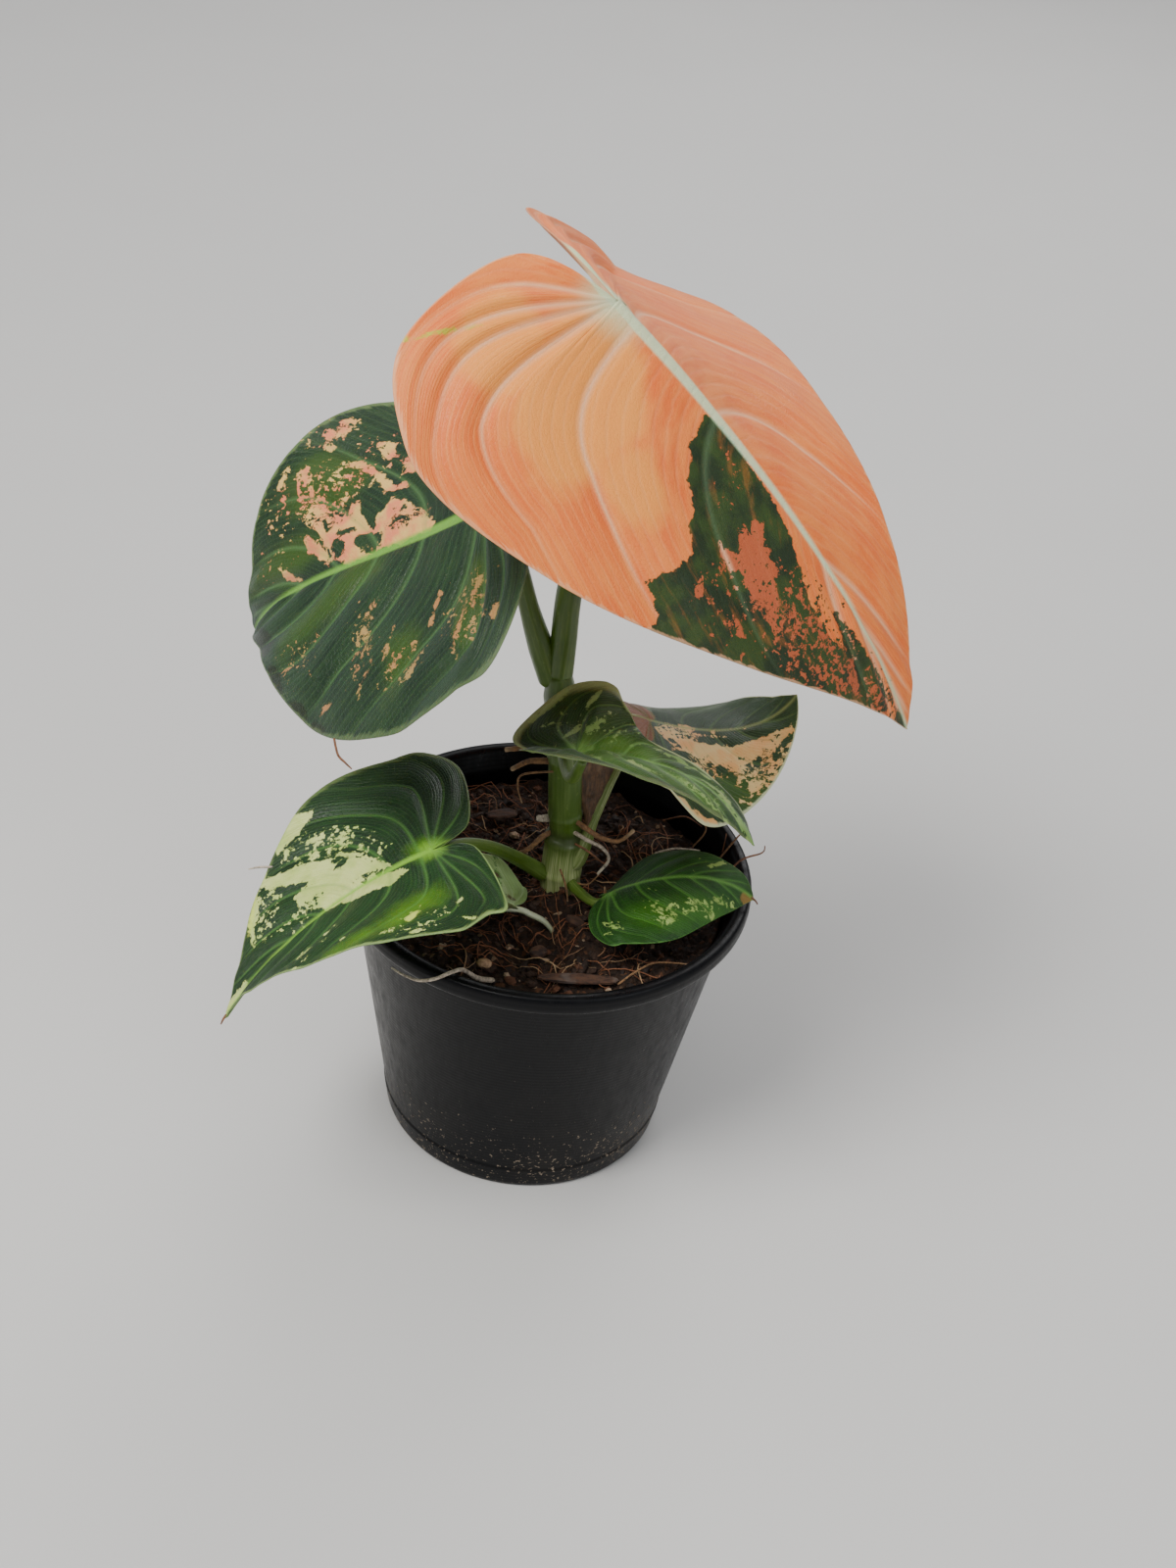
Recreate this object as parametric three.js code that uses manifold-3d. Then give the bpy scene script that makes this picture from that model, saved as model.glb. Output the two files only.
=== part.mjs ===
// Potted variegated heart-leaf climber: a round nursery pot, its soil, one stem and seven leaves.
// Millimetres, +Z up. The origin is the middle of the pot's base, where the pot stands.
// +X is the right-hand side of the plant seen from the front, and the front faces -Y.
import * as THREE from "three";
import { mergeVertices } from "three/addons/utils/BufferGeometryUtils.js";
import Module from "manifold-3d";

const wasm = await Module();
wasm.setup();

// Pot
const POT_HEIGHT = 83;
const POT_RIM_RADIUS = 55;
const POT_WALL_TOP_RADIUS = 50.5;
const POT_BASE_RADIUS = 38.5;
const POT_WALL = 1.4;
const POT_FLOOR = 1.6;
const POT_RIM_DROP = 5;
const POT_BEAD = 1.2;
const POT_SIDES = 48;
const DRAIN_HOLES = 6;
const DRAIN_RADIUS = 4;
const DRAIN_CIRCLE = 27;
const DRAIN_SIDES = 16;

// Soil
const SOIL_TOP = 75;
const SOIL_RELIEF = 0.8;
const SOIL_DISHING = 1.2;
const SOIL_RINGS = 6;
const SOIL_SECTORS = 30;
const SOIL_EDGE_DROP = 2;
const STEM_DEPTH_IN_SOIL = 14;

// Fits: the gap between touching pieces, and the length under which a cut's edges are closed up.
const GAP = 0.3;
const CUT_TOLERANCE = 0.02;
const MERGE_TOLERANCE = 1e-3;

// Leaf blades
const BLADE_MIDRIB_THICKNESS = 1.1;
const BLADE_MARGIN_THICKNESS = 0.6;
const BLADE_ROWS = 4;
const BLADE_COLUMNS = 22;
// Share of the outline, from the tip, whose veins start along the midrib; the rest start at its foot.
const MIDRIB_SHARE = 0.55;
const VEIN_START_POWER = 1.15;
const VEIN_ARCH = 0.25;
const MIDRIB_STEPS = 8;

// Where a stalk ends, from its blade's junction, and the blocks that trim it under the blade
const STALK_FORWARD = 1.6;
const STALK_UNDER = 0.25;
const TRIM_REACH = 9;
const TRIM_BACK = 2;
const TRIM_INWARD_BELOW_RIDGE = 3;
const TRIM_INWARD_BELOW_TROUGH = 0.6;

// Facets of the round pieces: sides round a tube and steps along it
const STEM_FACETS = [12, 22];
const STALK_FACETS = [8, 14];
const ROOT_FACETS = [6, 9];
const STRAND_FACETS = [6, 16];
const SHEATH_COLUMNS = 4;

const radians = THREE.MathUtils.degToRad;
const vec = (x, y, z) => new THREE.Vector3(x, y, z);
const lerp = THREE.MathUtils.lerp;
const clamp = THREE.MathUtils.clamp;

// The seven leaves. junction is where the stalk meets the blade; heading, dip and roll turn the blade
// there, in degrees; length runs from the junction to the tip. bend curves the midrib down along its
// length, end adds to it near the tip, and back curves the lobes.
// Each side has its half width, its fold from the midrib and its curl, at the junction and at the tip,
// and the length of its lobe behind the junction. front lists places along the midrib, as shares of
// the length, with the outline's width there as a share of the half width. heel is that share at the
// lobe's end, and gap at the lobe's inner edge. sweep bends the midrib sideways and twist turns its tip.
const LEAVES = {
  top: {
    junction: [2.1, 0.4, 241.9], heading: -11.5, dip: 39.5, roll: 22.7, length: 132, twist: 6, sweep: -1,
    bend: 17.5, end: 14, back: 58,
    left: {
      width: 67, fold: [47.5, -6.5], curl: [-7, 15.5], lobe: 32,
      front: [[0.87, 0.16], [0.6, 0.54], [0.3, 0.99]], heel: 0.59, gap: 0.11,
    },
    right: {
      width: 65, fold: [2.5, -2], curl: [14.5, 17.5], lobe: 29,
      front: [[0.87, 0.16], [0.6, 0.54], [0.3, 0.86]], heel: 0.67, gap: 0.16,
    },
  },
  left: {
    junction: [-23.4, -4, 189.1], heading: 158.5, dip: 42, roll: -33, length: 95, twist: -12.5, sweep: 5.3,
    bend: -19, end: 54, back: -10,
    left: {
      width: 52.5, fold: [-1.5, -21], curl: [0, 48], lobe: 17.5,
      front: [[0.87, 0.2], [0.6, 0.8], [0.3, 1.01]], heel: 0.54, gap: 0.21,
    },
    right: {
      width: 52.5, fold: [14, -25], curl: [46.5, -18], lobe: 17.5,
      front: [[0.87, 0.2], [0.6, 0.8], [0.3, 1.01]], heel: 0.54, gap: 0.21,
    },
  },
  low_left: {
    junction: [-27.5, -33.1, 108.1], heading: 201.7, dip: 21.5, roll: 22, length: 66, twist: -3.5, sweep: -4,
    bend: 29, end: 5, back: 43,
    left: {
      width: 35, fold: [22.5, -15.5], curl: [-13, 2], lobe: 13,
      front: [[0.87, 0.15], [0.6, 0.61], [0.3, 0.84]], heel: 0.86, gap: 0.13,
    },
    right: {
      width: 36.5, fold: [-23, -22], curl: [-3.5, -18], lobe: 13,
      front: [[0.87, 0.15], [0.6, 0.61], [0.3, 1.01]], heel: 0.66, gap: 0.13,
    },
  },
  twisted: {
    junction: [4.8, -27.1, 138.1], heading: -23.5, dip: -21.5, roll: -10, length: 55, twist: -22, sweep: 7.5,
    bend: 20, end: 46.5, back: 4,
    left: {
      width: 22, fold: [-21.5, 13], curl: [-23.5, -2], lobe: 20,
      front: [[0.87, 0.35], [0.32, 0.38], [0.11, 0.78]], heel: 0.38, gap: 0.08,
    },
    right: {
      width: 19.5, fold: [-21.5, 22.5], curl: [4, 1.5], lobe: 7.5,
      front: [[0.87, 0.27], [0.6, 0.61], [0.3, 0.85]], heel: 0.59, gap: 0.2,
    },
  },
  right: {
    junction: [22.5, 18.3, 119.2], heading: 10.5, dip: 16.5, roll: -12, length: 44.5, twist: 14, sweep: -8.8,
    bend: -18.5, end: -48, back: 15,
    left: {
      width: 31.5, fold: [-2, -3.5], curl: [44, 48], lobe: 8,
      front: [[0.87, 0.23], [0.6, 0.71], [0.3, 1]], heel: 0.63, gap: 0.33,
    },
    right: {
      width: 32.5, fold: [7.5, 36.5], curl: [3.5, 21], lobe: 4.7,
      front: [[0.87, 0.23], [0.6, 0.68], [0.3, 1.02]], heel: 0.68, gap: 0.33,
    },
  },
  low_right: {
    junction: [17, -12.5, 84.8], heading: 15, dip: -25.5, roll: -14, length: 40.5, twist: 26.5, sweep: 1.7,
    bend: 37, end: 32, back: 18.5,
    left: {
      width: 15.5, fold: [31, -20], curl: [-13, 5.5], lobe: 3,
      front: [[0.87, 0.31], [0.6, 0.65], [0.3, 0.96]], heel: 0.58, gap: 0.23,
    },
    right: {
      width: 22, fold: [0, 25], curl: [18.5, 22], lobe: 6.8,
      front: [[0.87, 0.31], [0.6, 0.65], [0.3, 0.93]], heel: 0.61, gap: 0.23,
    },
  },
  small: {
    junction: [-7.7, -20.2, 82.6], heading: 167, dip: -12.5, roll: 18, length: 27, twist: -26.5, sweep: 0.3,
    bend: -4, end: 10, back: 2,
    left: {
      width: 14.8, fold: [-25, 8], curl: [-3.5, 15], lobe: 2.7,
      front: [[0.87, 0.22], [0.6, 0.57], [0.3, 1]], heel: 0.55, gap: 0.26,
    },
    right: {
      width: 15.8, fold: [-1.5, -25], curl: [4.5, -13.5], lobe: 2.7,
      front: [[0.87, 0.22], [0.6, 0.57], [0.3, 1]], heel: 0.55, gap: 0.26,
    },
  },
};
const WIDEST_PLACE = 0.02;
const LOBE_MIDDLE = 0.55;
const LOBE_MIDDLE_WIDTH = 0.93;
const LOBE_INNER = 0.8;

// Half of a leaf's flat outline, from the tip round to the junction, with x along the midrib.
function outlineCurve(leaf, { width, lobe, front, heel, gap }) {
  const place = (x, share) => new THREE.Vector2(x, share * width);
  return new THREE.SplineCurve([
    place(leaf.length, 0),
    ...front.map(([x, share]) => place(x * leaf.length, share)),
    place(WIDEST_PLACE * leaf.length, 1),
    place(-LOBE_MIDDLE * lobe, LOBE_MIDDLE_WIDTH),
    place(-lobe, heel),
    place(-LOBE_INNER * lobe, gap),
    place(0, 0),
  ]);
}

// A place on the flat leaf: across runs 0 to 1 from the midrib to the margin along a vein,
// along runs 0 to 1 from the tip round to the junction. Veins arch towards the tip.
function flatPoint(leaf, curve, across, along) {
  const edge = curve.getPoint(along);
  const start = leaf.length * Math.max(0, 1 - along / MIDRIB_SHARE) ** VEIN_START_POWER;
  const reach = vec(edge.x - start, edge.y, 0);
  const arch = VEIN_ARCH * (1 - along) * across * (1 - across);
  return [start + across * reach.x + arch * reach.y, across * reach.y - arch * reach.x];
}

// A unit vector turned by an angle towards another at right angles to it.
function turned(from, towards, angle) {
  return from.clone().multiplyScalar(Math.cos(angle)).addScaledVector(towards, Math.sin(angle));
}

// The frame at the foot of the midrib: along it, to its right, and out of the upper face.
function leafFrame(leaf) {
  const heading = radians(leaf.heading);
  const dip = radians(leaf.dip);
  const reach = Math.cos(dip);
  const along = vec(reach * Math.cos(heading), reach * Math.sin(heading), -Math.sin(dip));
  const level = vec(Math.sin(heading), -Math.cos(heading), 0);
  const up = level.clone().cross(along);
  const roll = radians(leaf.roll);
  return {
    along,
    right: turned(level, up, -roll),
    up: turned(up, level, roll),
  };
}

const midribAngle = (leaf, q) => radians(q >= 0 ? leaf.bend * q + leaf.end * q ** 3 : leaf.back * q);
const sinc = (x) => (Math.abs(x) < 1e-6 ? 1 : Math.sin(x) / x);

// A flat place lifted onto the bent blade: the midrib bends, and each half folds and curls from it.
// Returns the point and the upper face's normal there.
function liftPoint(leaf, frame, side, sign, u, v) {
  const q = u / leaf.length;
  let forward = 0;
  let down = 0;
  for (let i = 0; i < MIDRIB_STEPS; i += 1) {
    const angle = midribAngle(leaf, (q * (i + 0.5)) / MIDRIB_STEPS);
    forward += (u * Math.cos(angle)) / MIDRIB_STEPS;
    down += (u * Math.sin(angle)) / MIDRIB_STEPS;
  }
  const angle = midribAngle(leaf, q);
  const twist = radians(leaf.twist * Math.max(0, q));
  const flatNormal = turned(frame.up, frame.along, angle);
  const normal = turned(flatNormal, frame.right, twist);
  const right = turned(frame.right, flatNormal, -twist);
  const share = clamp(q, 0, 1);
  const fold = radians(lerp(side.fold[0], side.fold[1], share));
  const turn = (radians(lerp(side.curl[0], side.curl[1], share)) * v) / side.width;
  const out = v * Math.cos(fold + turn / 2) * sinc(turn / 2);
  const drop = v * Math.sin(fold + turn / 2) * sinc(turn / 2);
  const point = vec(...leaf.junction)
    .addScaledVector(frame.along, forward)
    .addScaledVector(frame.up, -down)
    .addScaledVector(frame.right, leaf.sweep * q * q)
    .addScaledVector(right, sign * out)
    .addScaledVector(normal, -drop);
  return { point, normal };
}

// A closed solid from a list of triangles, each three points; points nearer than the tolerance
// become one vertex.
function closedGeometry(triangles, tolerance = MERGE_TOLERANCE) {
  const positions = triangles.flatMap((triangle) => triangle.flatMap((p) => [p.x, p.y, p.z]));
  const loose = new THREE.BufferGeometry();
  loose.setAttribute("position", new THREE.Float32BufferAttribute(positions, 3));
  const merged = mergeVertices(loose, tolerance);
  const index = merged.index.array;
  const kept = [];
  for (let i = 0; i < index.length; i += 3) {
    const [a, b, c] = [index[i], index[i + 1], index[i + 2]];
    if (a !== b && b !== c && c !== a) kept.push(a, b, c);
  }
  merged.setIndex(kept);
  return merged;
}

// A geometry's triangles, each as three points.
function trianglesOf(geometry) {
  const flat = geometry.toNonIndexed().getAttribute("position");
  const triangles = [];
  for (let i = 0; i < flat.count; i += 3) {
    triangles.push([0, 1, 2].map((k) => new THREE.Vector3().fromBufferAttribute(flat, i + k)));
  }
  return triangles;
}

// Two triangles for the four corners a, b, c, d of a quad, turned round when flip is set.
function quad(a, b, c, d, flip) {
  return flip ? [[a, c, b], [a, d, c]] : [[a, b, c], [a, c, d]];
}

// One leaf blade as a closed solid: an upper and a lower sheet, joined round the margin.
function bladeGeometry(leaf) {
  const frame = leafFrame(leaf);
  const triangles = [];
  for (const [name, sign] of [["left", -1], ["right", 1]]) {
    const side = leaf[name];
    const curve = outlineCurve(leaf, side);
    const grid = [];
    for (let row = 0; row <= BLADE_ROWS; row += 1) {
      const across = row / BLADE_ROWS;
      const half = lerp(BLADE_MIDRIB_THICKNESS, BLADE_MARGIN_THICKNESS, across) / 2;
      grid.push([]);
      for (let column = 0; column <= BLADE_COLUMNS; column += 1) {
        const [u, v] = flatPoint(leaf, curve, across, column / BLADE_COLUMNS);
        const { point, normal } = liftPoint(leaf, frame, side, sign, u, v);
        grid[row].push({ point, normal, half });
      }
    }
    tiltNormals(grid, sign);
    const face = (turn) =>
      grid.map((row) => row.map((g) => g.point.clone().addScaledVector(g.normal, turn * g.half)));
    const upper = face(1);
    const lower = face(-1);
    const flip = sign > 0;
    for (let row = 0; row < BLADE_ROWS; row += 1) {
      for (let column = 0; column < BLADE_COLUMNS; column += 1) {
        const corners = [[row, column], [row, column + 1], [row + 1, column + 1], [row + 1, column]];
        triangles.push(...quad(...corners.map(([r, c]) => upper[r][c]), !flip));
        triangles.push(...quad(...corners.map(([r, c]) => lower[r][c]), flip));
      }
    }
    const rim = BLADE_ROWS;
    for (let column = 0; column < BLADE_COLUMNS; column += 1) {
      const above = [upper[rim][column], upper[rim][column + 1]];
      const below = [lower[rim][column + 1], lower[rim][column]];
      triangles.push(...quad(...above, ...below, !flip));
    }
  }
  return closedGeometry(triangles);
}

// Away from the midrib, replaces the midrib's normal by the folded surface's own.
function tiltNormals(grid, sign) {
  for (let row = 1; row <= BLADE_ROWS; row += 1) {
    for (let column = 1; column < BLADE_COLUMNS; column += 1) {
      const here = grid[row][column];
      const outward = here.point.clone().sub(grid[row - 1][column].point);
      const round = grid[row][column + 1].point.clone().sub(grid[row][column - 1].point);
      const normal = round.cross(outward).multiplyScalar(sign);
      if (normal.length() > 1e-6) here.normal = normal.normalize();
    }
  }
}

// A closed tube along a smooth curve through points, with radii spread evenly over them.
function taperedTube(points, radii, [sides, steps]) {
  const curve = new THREE.CatmullRomCurve3(points.map((p) => vec(...p)), false, "centripetal");
  const frames = curve.computeFrenetFrames(steps, false);
  const rings = [];
  for (let step = 0; step <= steps; step += 1) {
    const share = step / steps;
    const centre = curve.getPointAt(share);
    const place = curve.getUtoTmapping(share) * (radii.length - 1);
    const first = Math.min(Math.floor(place), radii.length - 2);
    const radius = lerp(radii[first], radii[first + 1], place - first);
    const ring = [];
    for (let side = 0; side < sides; side += 1) {
      const turn = (2 * Math.PI * side) / sides;
      ring.push(
        centre.clone()
          .addScaledVector(frames.normals[step], radius * Math.cos(turn))
          .addScaledVector(frames.binormals[step], radius * Math.sin(turn)),
      );
    }
    rings.push({ centre, ring });
  }
  const triangles = [];
  for (let side = 0; side < sides; side += 1) {
    const next = (side + 1) % sides;
    triangles.push([rings[0].centre, rings[0].ring[next], rings[0].ring[side]]);
    triangles.push([rings[steps].centre, rings[steps].ring[side], rings[steps].ring[next]]);
    for (let step = 0; step < steps; step += 1) {
      const near = rings[step].ring;
      const far = rings[step + 1].ring;
      triangles.push(...quad(near[side], near[next], far[next], far[side], false));
    }
  }
  return closedGeometry(triangles);
}

// A geometry as a solid that can be cut.
function solidOf(geometry) {
  const bare = new THREE.BufferGeometry();
  bare.setAttribute("position", geometry.getAttribute("position"));
  bare.setIndex(geometry.index);
  const merged = mergeVertices(bare, MERGE_TOLERANCE);
  return new wasm.Manifold(
    new wasm.Mesh({
      numProp: 3,
      vertProperties: new Float32Array(merged.attributes.position.array),
      triVerts: new Uint32Array(merged.index.array),
    }),
  );
}

// A solid back as a geometry.
function geometryOf(solid) {
  const mesh = solid.getMesh();
  const geometry = new THREE.BufferGeometry();
  const positions = new Float32Array(mesh.numVert * 3);
  for (let i = 0; i < mesh.numVert; i += 1) {
    positions.set(mesh.vertProperties.subarray(i * mesh.numProp, i * mesh.numProp + 3), i * 3);
  }
  geometry.setAttribute("position", new THREE.BufferAttribute(positions, 3));
  geometry.setIndex(new THREE.BufferAttribute(mesh.triVerts, 1));
  return geometry;
}

// The largest piece of a geometry after the cutters are taken from it.
function cut(geometry, ...cutters) {
  let solid = solidOf(geometry);
  for (const cutter of cutters) solid = solid.subtract(solidOf(cutter));
  const pieces = solid.decompose().sort((a, b) => b.volume() - a.volume());
  return closedGeometry(trianglesOf(geometryOf(pieces[0])), CUT_TOLERANCE);
}

// Pot: a tapered wall with a rolled rim and round drain holes in a flat base.
function potGeometry() {
  const rimInner = POT_RIM_RADIUS - POT_WALL;
  const step = POT_HEIGHT - POT_RIM_DROP;
  const profile = [
    [0, 0],
    [POT_BASE_RADIUS - 1, 0],
    [POT_BASE_RADIUS, 1],
    [POT_WALL_TOP_RADIUS, step - 2],
    [POT_RIM_RADIUS - 1.5, step - 1],
    [POT_RIM_RADIUS - 0.5, step - 0.5],
    [POT_RIM_RADIUS, step + POT_BEAD],
    [POT_RIM_RADIUS, POT_HEIGHT - POT_BEAD],
    [POT_RIM_RADIUS - 0.4, POT_HEIGHT - 0.35],
    [POT_RIM_RADIUS - POT_BEAD, POT_HEIGHT],
    [rimInner - POT_BEAD, POT_HEIGHT],
    [rimInner - POT_BEAD - 1.2, POT_HEIGHT - 1],
    [POT_WALL_TOP_RADIUS - POT_WALL, step - 1],
    [POT_BASE_RADIUS - POT_WALL, POT_FLOOR],
    [0, POT_FLOOR],
  ].map(([r, z]) => new THREE.Vector2(r, z));
  const shell = new THREE.LatheGeometry(profile, POT_SIDES);
  shell.rotateX(Math.PI / 2);
  let solid = solidOf(shell);
  for (let i = 0; i < DRAIN_HOLES; i += 1) {
    const drill = new THREE.CylinderGeometry(DRAIN_RADIUS, DRAIN_RADIUS, 4 * POT_FLOOR, DRAIN_SIDES);
    drill.rotateX(Math.PI / 2);
    const turn = (2 * Math.PI * (i + 0.5)) / DRAIN_HOLES;
    drill.translate(DRAIN_CIRCLE * Math.cos(turn), DRAIN_CIRCLE * Math.sin(turn), 0);
    solid = solid.subtract(solidOf(drill));
  }
  return geometryOf(solid);
}

// Height of the soil's gently uneven top, which sinks a little towards the wall.
function soilHeight(x, y) {
  const waves = Math.sin(x / 7 + 1) * Math.cos(y / 9) + 0.6 * Math.sin(x / 4 - y / 5);
  return SOIL_TOP + SOIL_RELIEF * waves - SOIL_DISHING * (Math.hypot(x, y) / POT_WALL_TOP_RADIUS) ** 2;
}

// Soil: fills the pot up to a few millimetres below the rim, with a socket for the buried stem.
function soilGeometry(stemCutter) {
  const wallAt = (z) => {
    const share = (z - POT_FLOOR) / (POT_HEIGHT - POT_RIM_DROP - 1 - POT_FLOOR);
    return lerp(POT_BASE_RADIUS, POT_WALL_TOP_RADIUS, share) - POT_WALL - 2 * GAP;
  };
  const bottom = POT_FLOOR + GAP;
  const triangles = [];
  const ringPoint = (radius, sector, z) => {
    const turn = (2 * Math.PI * sector) / SOIL_SECTORS;
    const x = radius * Math.cos(turn);
    const y = radius * Math.sin(turn);
    return vec(x, y, z === undefined ? soilHeight(x, y) : z);
  };
  const topRadius = wallAt(SOIL_TOP - SOIL_EDGE_DROP);
  for (let sector = 0; sector < SOIL_SECTORS; sector += 1) {
    const next = (sector + 1) % SOIL_SECTORS;
    for (let ring = 0; ring < SOIL_RINGS; ring += 1) {
      const inner = (topRadius * ring) / SOIL_RINGS;
      const outer = (topRadius * (ring + 1)) / SOIL_RINGS;
      const near = [ringPoint(inner, sector), ringPoint(outer, sector)];
      const far = [ringPoint(outer, next), ringPoint(inner, next)];
      triangles.push(...quad(...near, ...far, false));
    }
    const low = ringPoint(wallAt(bottom), sector, bottom);
    const lowNext = ringPoint(wallAt(bottom), next, bottom);
    const edge = ringPoint(topRadius, sector);
    triangles.push(...quad(low, lowNext, ringPoint(topRadius, next), edge, false));
    triangles.push([vec(0, 0, bottom), lowNext, low]);
  }
  return cut(closedGeometry(triangles), stemCutter);
}

// Stem and stalks: centre lines and radii. A stalk's line goes on to the foot of its leaf's midrib,
// and each stalk is cut clear of what it grows from.
const STEM_LINE = [
  [4.6, 1, SOIL_TOP - STEM_DEPTH_IN_SOIL], [4.4, 0, 76], [4.1, 0, 84], [4.1, 0, 91], [4.2, 0, 94],
  [3.4, 0, 101], [2.7, 0, 109], [1.9, 0, 119], [0.6, 0, 128], [-1, 0, 136], [-2, 0.5, 143],
];
const STEM_RADII = [4.6, 5.3, 5.1, 4.9, 4.2, 4.3, 4.3, 4.4, 4.4, 4.3, 2.6];
const STALKS = {
  top: {
    line: [[-1.8, 0.5, 140], [-1.7, 2, 150], [-1.6, 4, 164], [0.5, 9, 190], [2, 12, 215], [2, 8, 234]],
    radii: [3.4, 3.3, 3.2, 2.9, 2.7, 2.6, 2.2],
  },
  left: {
    line: [[-3, 1, 138], [-7.2, 2, 148], [-11, 3, 158], [-15, 3, 171], [-19.5, 0, 183]],
    radii: [3.4, 3.2, 2.5, 2.1, 1.9, 1.7],
  },
  low_left: {
    line: [[0, -2, 80], [-7, -7, 88], [-15, -16, 98], [-22, -26, 105]],
    radii: [2.3, 1.9, 1.6, 1.5, 1.3],
  },
  twisted: {
    line: [[1.2, 0, 122], [2.6, -10, 121.5], [4.6, -21.5, 126.5]],
    radii: [2.2, 1.8, 1.5, 1.2],
  },
  right: {
    line: [[4, 0, 81], [7.6, -1, 86], [9.6, -1, 92], [11.2, 1, 98], [14.6, 6, 108], [18.5, 12.5, 115.5]],
    radii: [3.2, 2.9, 2, 1.3, 1.2, 1.2, 1.1],
  },
  low_right: {
    line: [[5, -1, 80], [9.4, -7, 79.8], [14.4, -12.4, 81]],
    radii: [1.8, 1.4, 1.2, 1],
  },
  small: {
    line: [[3, -17.5, 74], [1.5, -18, 77.5], [-2, -18.6, 79.5], [-5, -19, 81]],
    radii: [0.8, 0.8, 0.8, 0.8, 0.8],
  },
};
// Where a stalk ends: just forward of the junction and a little under the blade's middle.
function stalkTop(leaf) {
  const { along, up } = leafFrame(leaf);
  const top = vec(...leaf.junction).addScaledVector(along, STALK_FORWARD);
  return top.addScaledVector(up, -STALK_UNDER).toArray();
}

// Two blocks whose undersides lie a gap below the two halves of a blade at its foot. They reach past
// the midrib, further where the halves fall away from it than where they rise.
function trimBlocks(leaf) {
  const frame = leafFrame(leaf);
  return [["left", -1], ["right", 1]].map(([name, sign]) => {
    const fold = radians(leaf[name].fold[0]);
    const outward = frame.right.clone().multiplyScalar(sign);
    const out = turned(outward, frame.up, -fold);
    const normal = turned(frame.up, outward, fold);
    const inward = fold > 0 ? TRIM_INWARD_BELOW_RIDGE : TRIM_INWARD_BELOW_TROUGH;
    const width = TRIM_REACH + inward;
    const centre = vec(...leaf.junction)
      .addScaledVector(out, width / 2 - inward)
      .addScaledVector(frame.along, (TRIM_REACH - TRIM_BACK) / 2)
      .addScaledVector(normal, TRIM_REACH / 2 - BLADE_MIDRIB_THICKNESS / 2 - GAP);
    const across = frame.along.clone().cross(normal);
    const block = new THREE.BoxGeometry(width, TRIM_REACH + TRIM_BACK, TRIM_REACH);
    const basis = new THREE.Matrix4().makeBasis(across, frame.along, normal);
    block.applyMatrix4(basis.setPosition(centre));
    return block;
  });
}

// A tube a gap larger all round and at both ends, for cutting what touches it.
function clearanceTube(line, radii, facets) {
  const points = line.map((p) => vec(...p));
  const beyond = (end, before) => end.clone().sub(before).setLength(GAP).add(end);
  const first = beyond(points[0], points[1]);
  const last = beyond(points[points.length - 1], points[points.length - 2]);
  const longer = [first, ...points.slice(1, -1), last].map((p) => p.toArray());
  return taperedTube(longer, radii.map((radius) => radius + GAP), facets);
}

// Aerial roots on the stem: centre line and radius at the stem, which thins out along the root.
const ROOTS = {
  root_upper_left: {
    line: [[0, 1, 118], [-4.5, 2, 117.4], [-8.8, 2, 117], [-13.8, 2, 115.7]],
    radius: 1,
  },
  root_mid_left: {
    line: [[1, 0, 116], [-4, -1, 115.8], [-7.5, 0, 114.3], [-11.6, 1, 110.4]],
    radius: 1,
  },
  root_stub: {
    line: [[1.5, 0, 98], [-1.8, -1, 97.6], [-3.8, -1.5, 97.8]],
    radius: 1.2,
  },
  root_low_left: {
    line: [[2, 0, 93.5], [-1.5, -2, 92.5], [-5, -3, 88.5], [-9.7, -3, 85.2]],
    radius: 0.9,
  },
  root_right: {
    line: [[5, -1, 99], [9, -4, 98.6], [13, -5, 97], [18, -5, 96.2], [21.8, -5, 100.5]],
    radius: 0.8,
  },
  root_loop: {
    line: [[5, -2, 96], [9.5, -4.8, 95.5], [14.5, -5.5, 93.5], [16.2, -5.5, 90], [13.8, -5.5, 85]],
    radius: 0.6,
  },
};
const ROOT_THINNING = 0.4;

// The pale strand that rises from the soil and lies over the pot's rim.
const RIM_STRAND = {
  line: [
    [-9, -41, 75.2], [-13, -44.5, 78.5], [-16.5, -47.5, 83.2], [-19, -50, 84.3],
    [-23, -52.3, 83.4], [-27, -50.8, 81], [-31, -48.4, 80], [-34.5, -45.6, 79.5],
  ],
  radius: 0.7,
};

// The dry sheath: a papery skin between the stem and the right-hand leaf's stalk, with an edge on each.
const SHEATH = {
  stemEdge: [[9, 0.4, 96.5], [7.4, 0.6, 104], [6.6, 1, 111], [6.1, 1.6, 117]],
  stalkEdge: [[10.6, 0.6, 96.5], [13, 3.8, 103.5], [15.2, 7, 109], [17.4, 10.4, 113.5]],
  thickness: 0.6,
  bulge: 1.2,
};

// Chips of bark and a pebble on the soil: place, size, and turn about the upright in degrees.
const CHIPS = {
  bark_long: { at: [12, -37.4], size: [22, 4, 1.6], turn: 6 },
  bark_grey: { at: [1, -28.5], size: [5, 4, 2.5], turn: 35 },
  bark_near_stem: { at: [9.5, -15], size: [6, 3.5, 2], turn: -30 },
  bark_right: { at: [38, 20], size: [7, 4, 2], turn: 60 },
  bark_back: { at: [-14, 26], size: [9, 5, 2], turn: 20 },
  bark_back_right: { at: [10, 34], size: [6, 5, 2], turn: -50 },
};
const PEBBLE = { at: [-12, -36], radii: [2.2, 1.6, 1.3], facets: [10, 7] };
const CHIP_TAPER = 0.35;
const CHIP_UNEVENNESS = 0.1;

const group = new THREE.Group();

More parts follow.
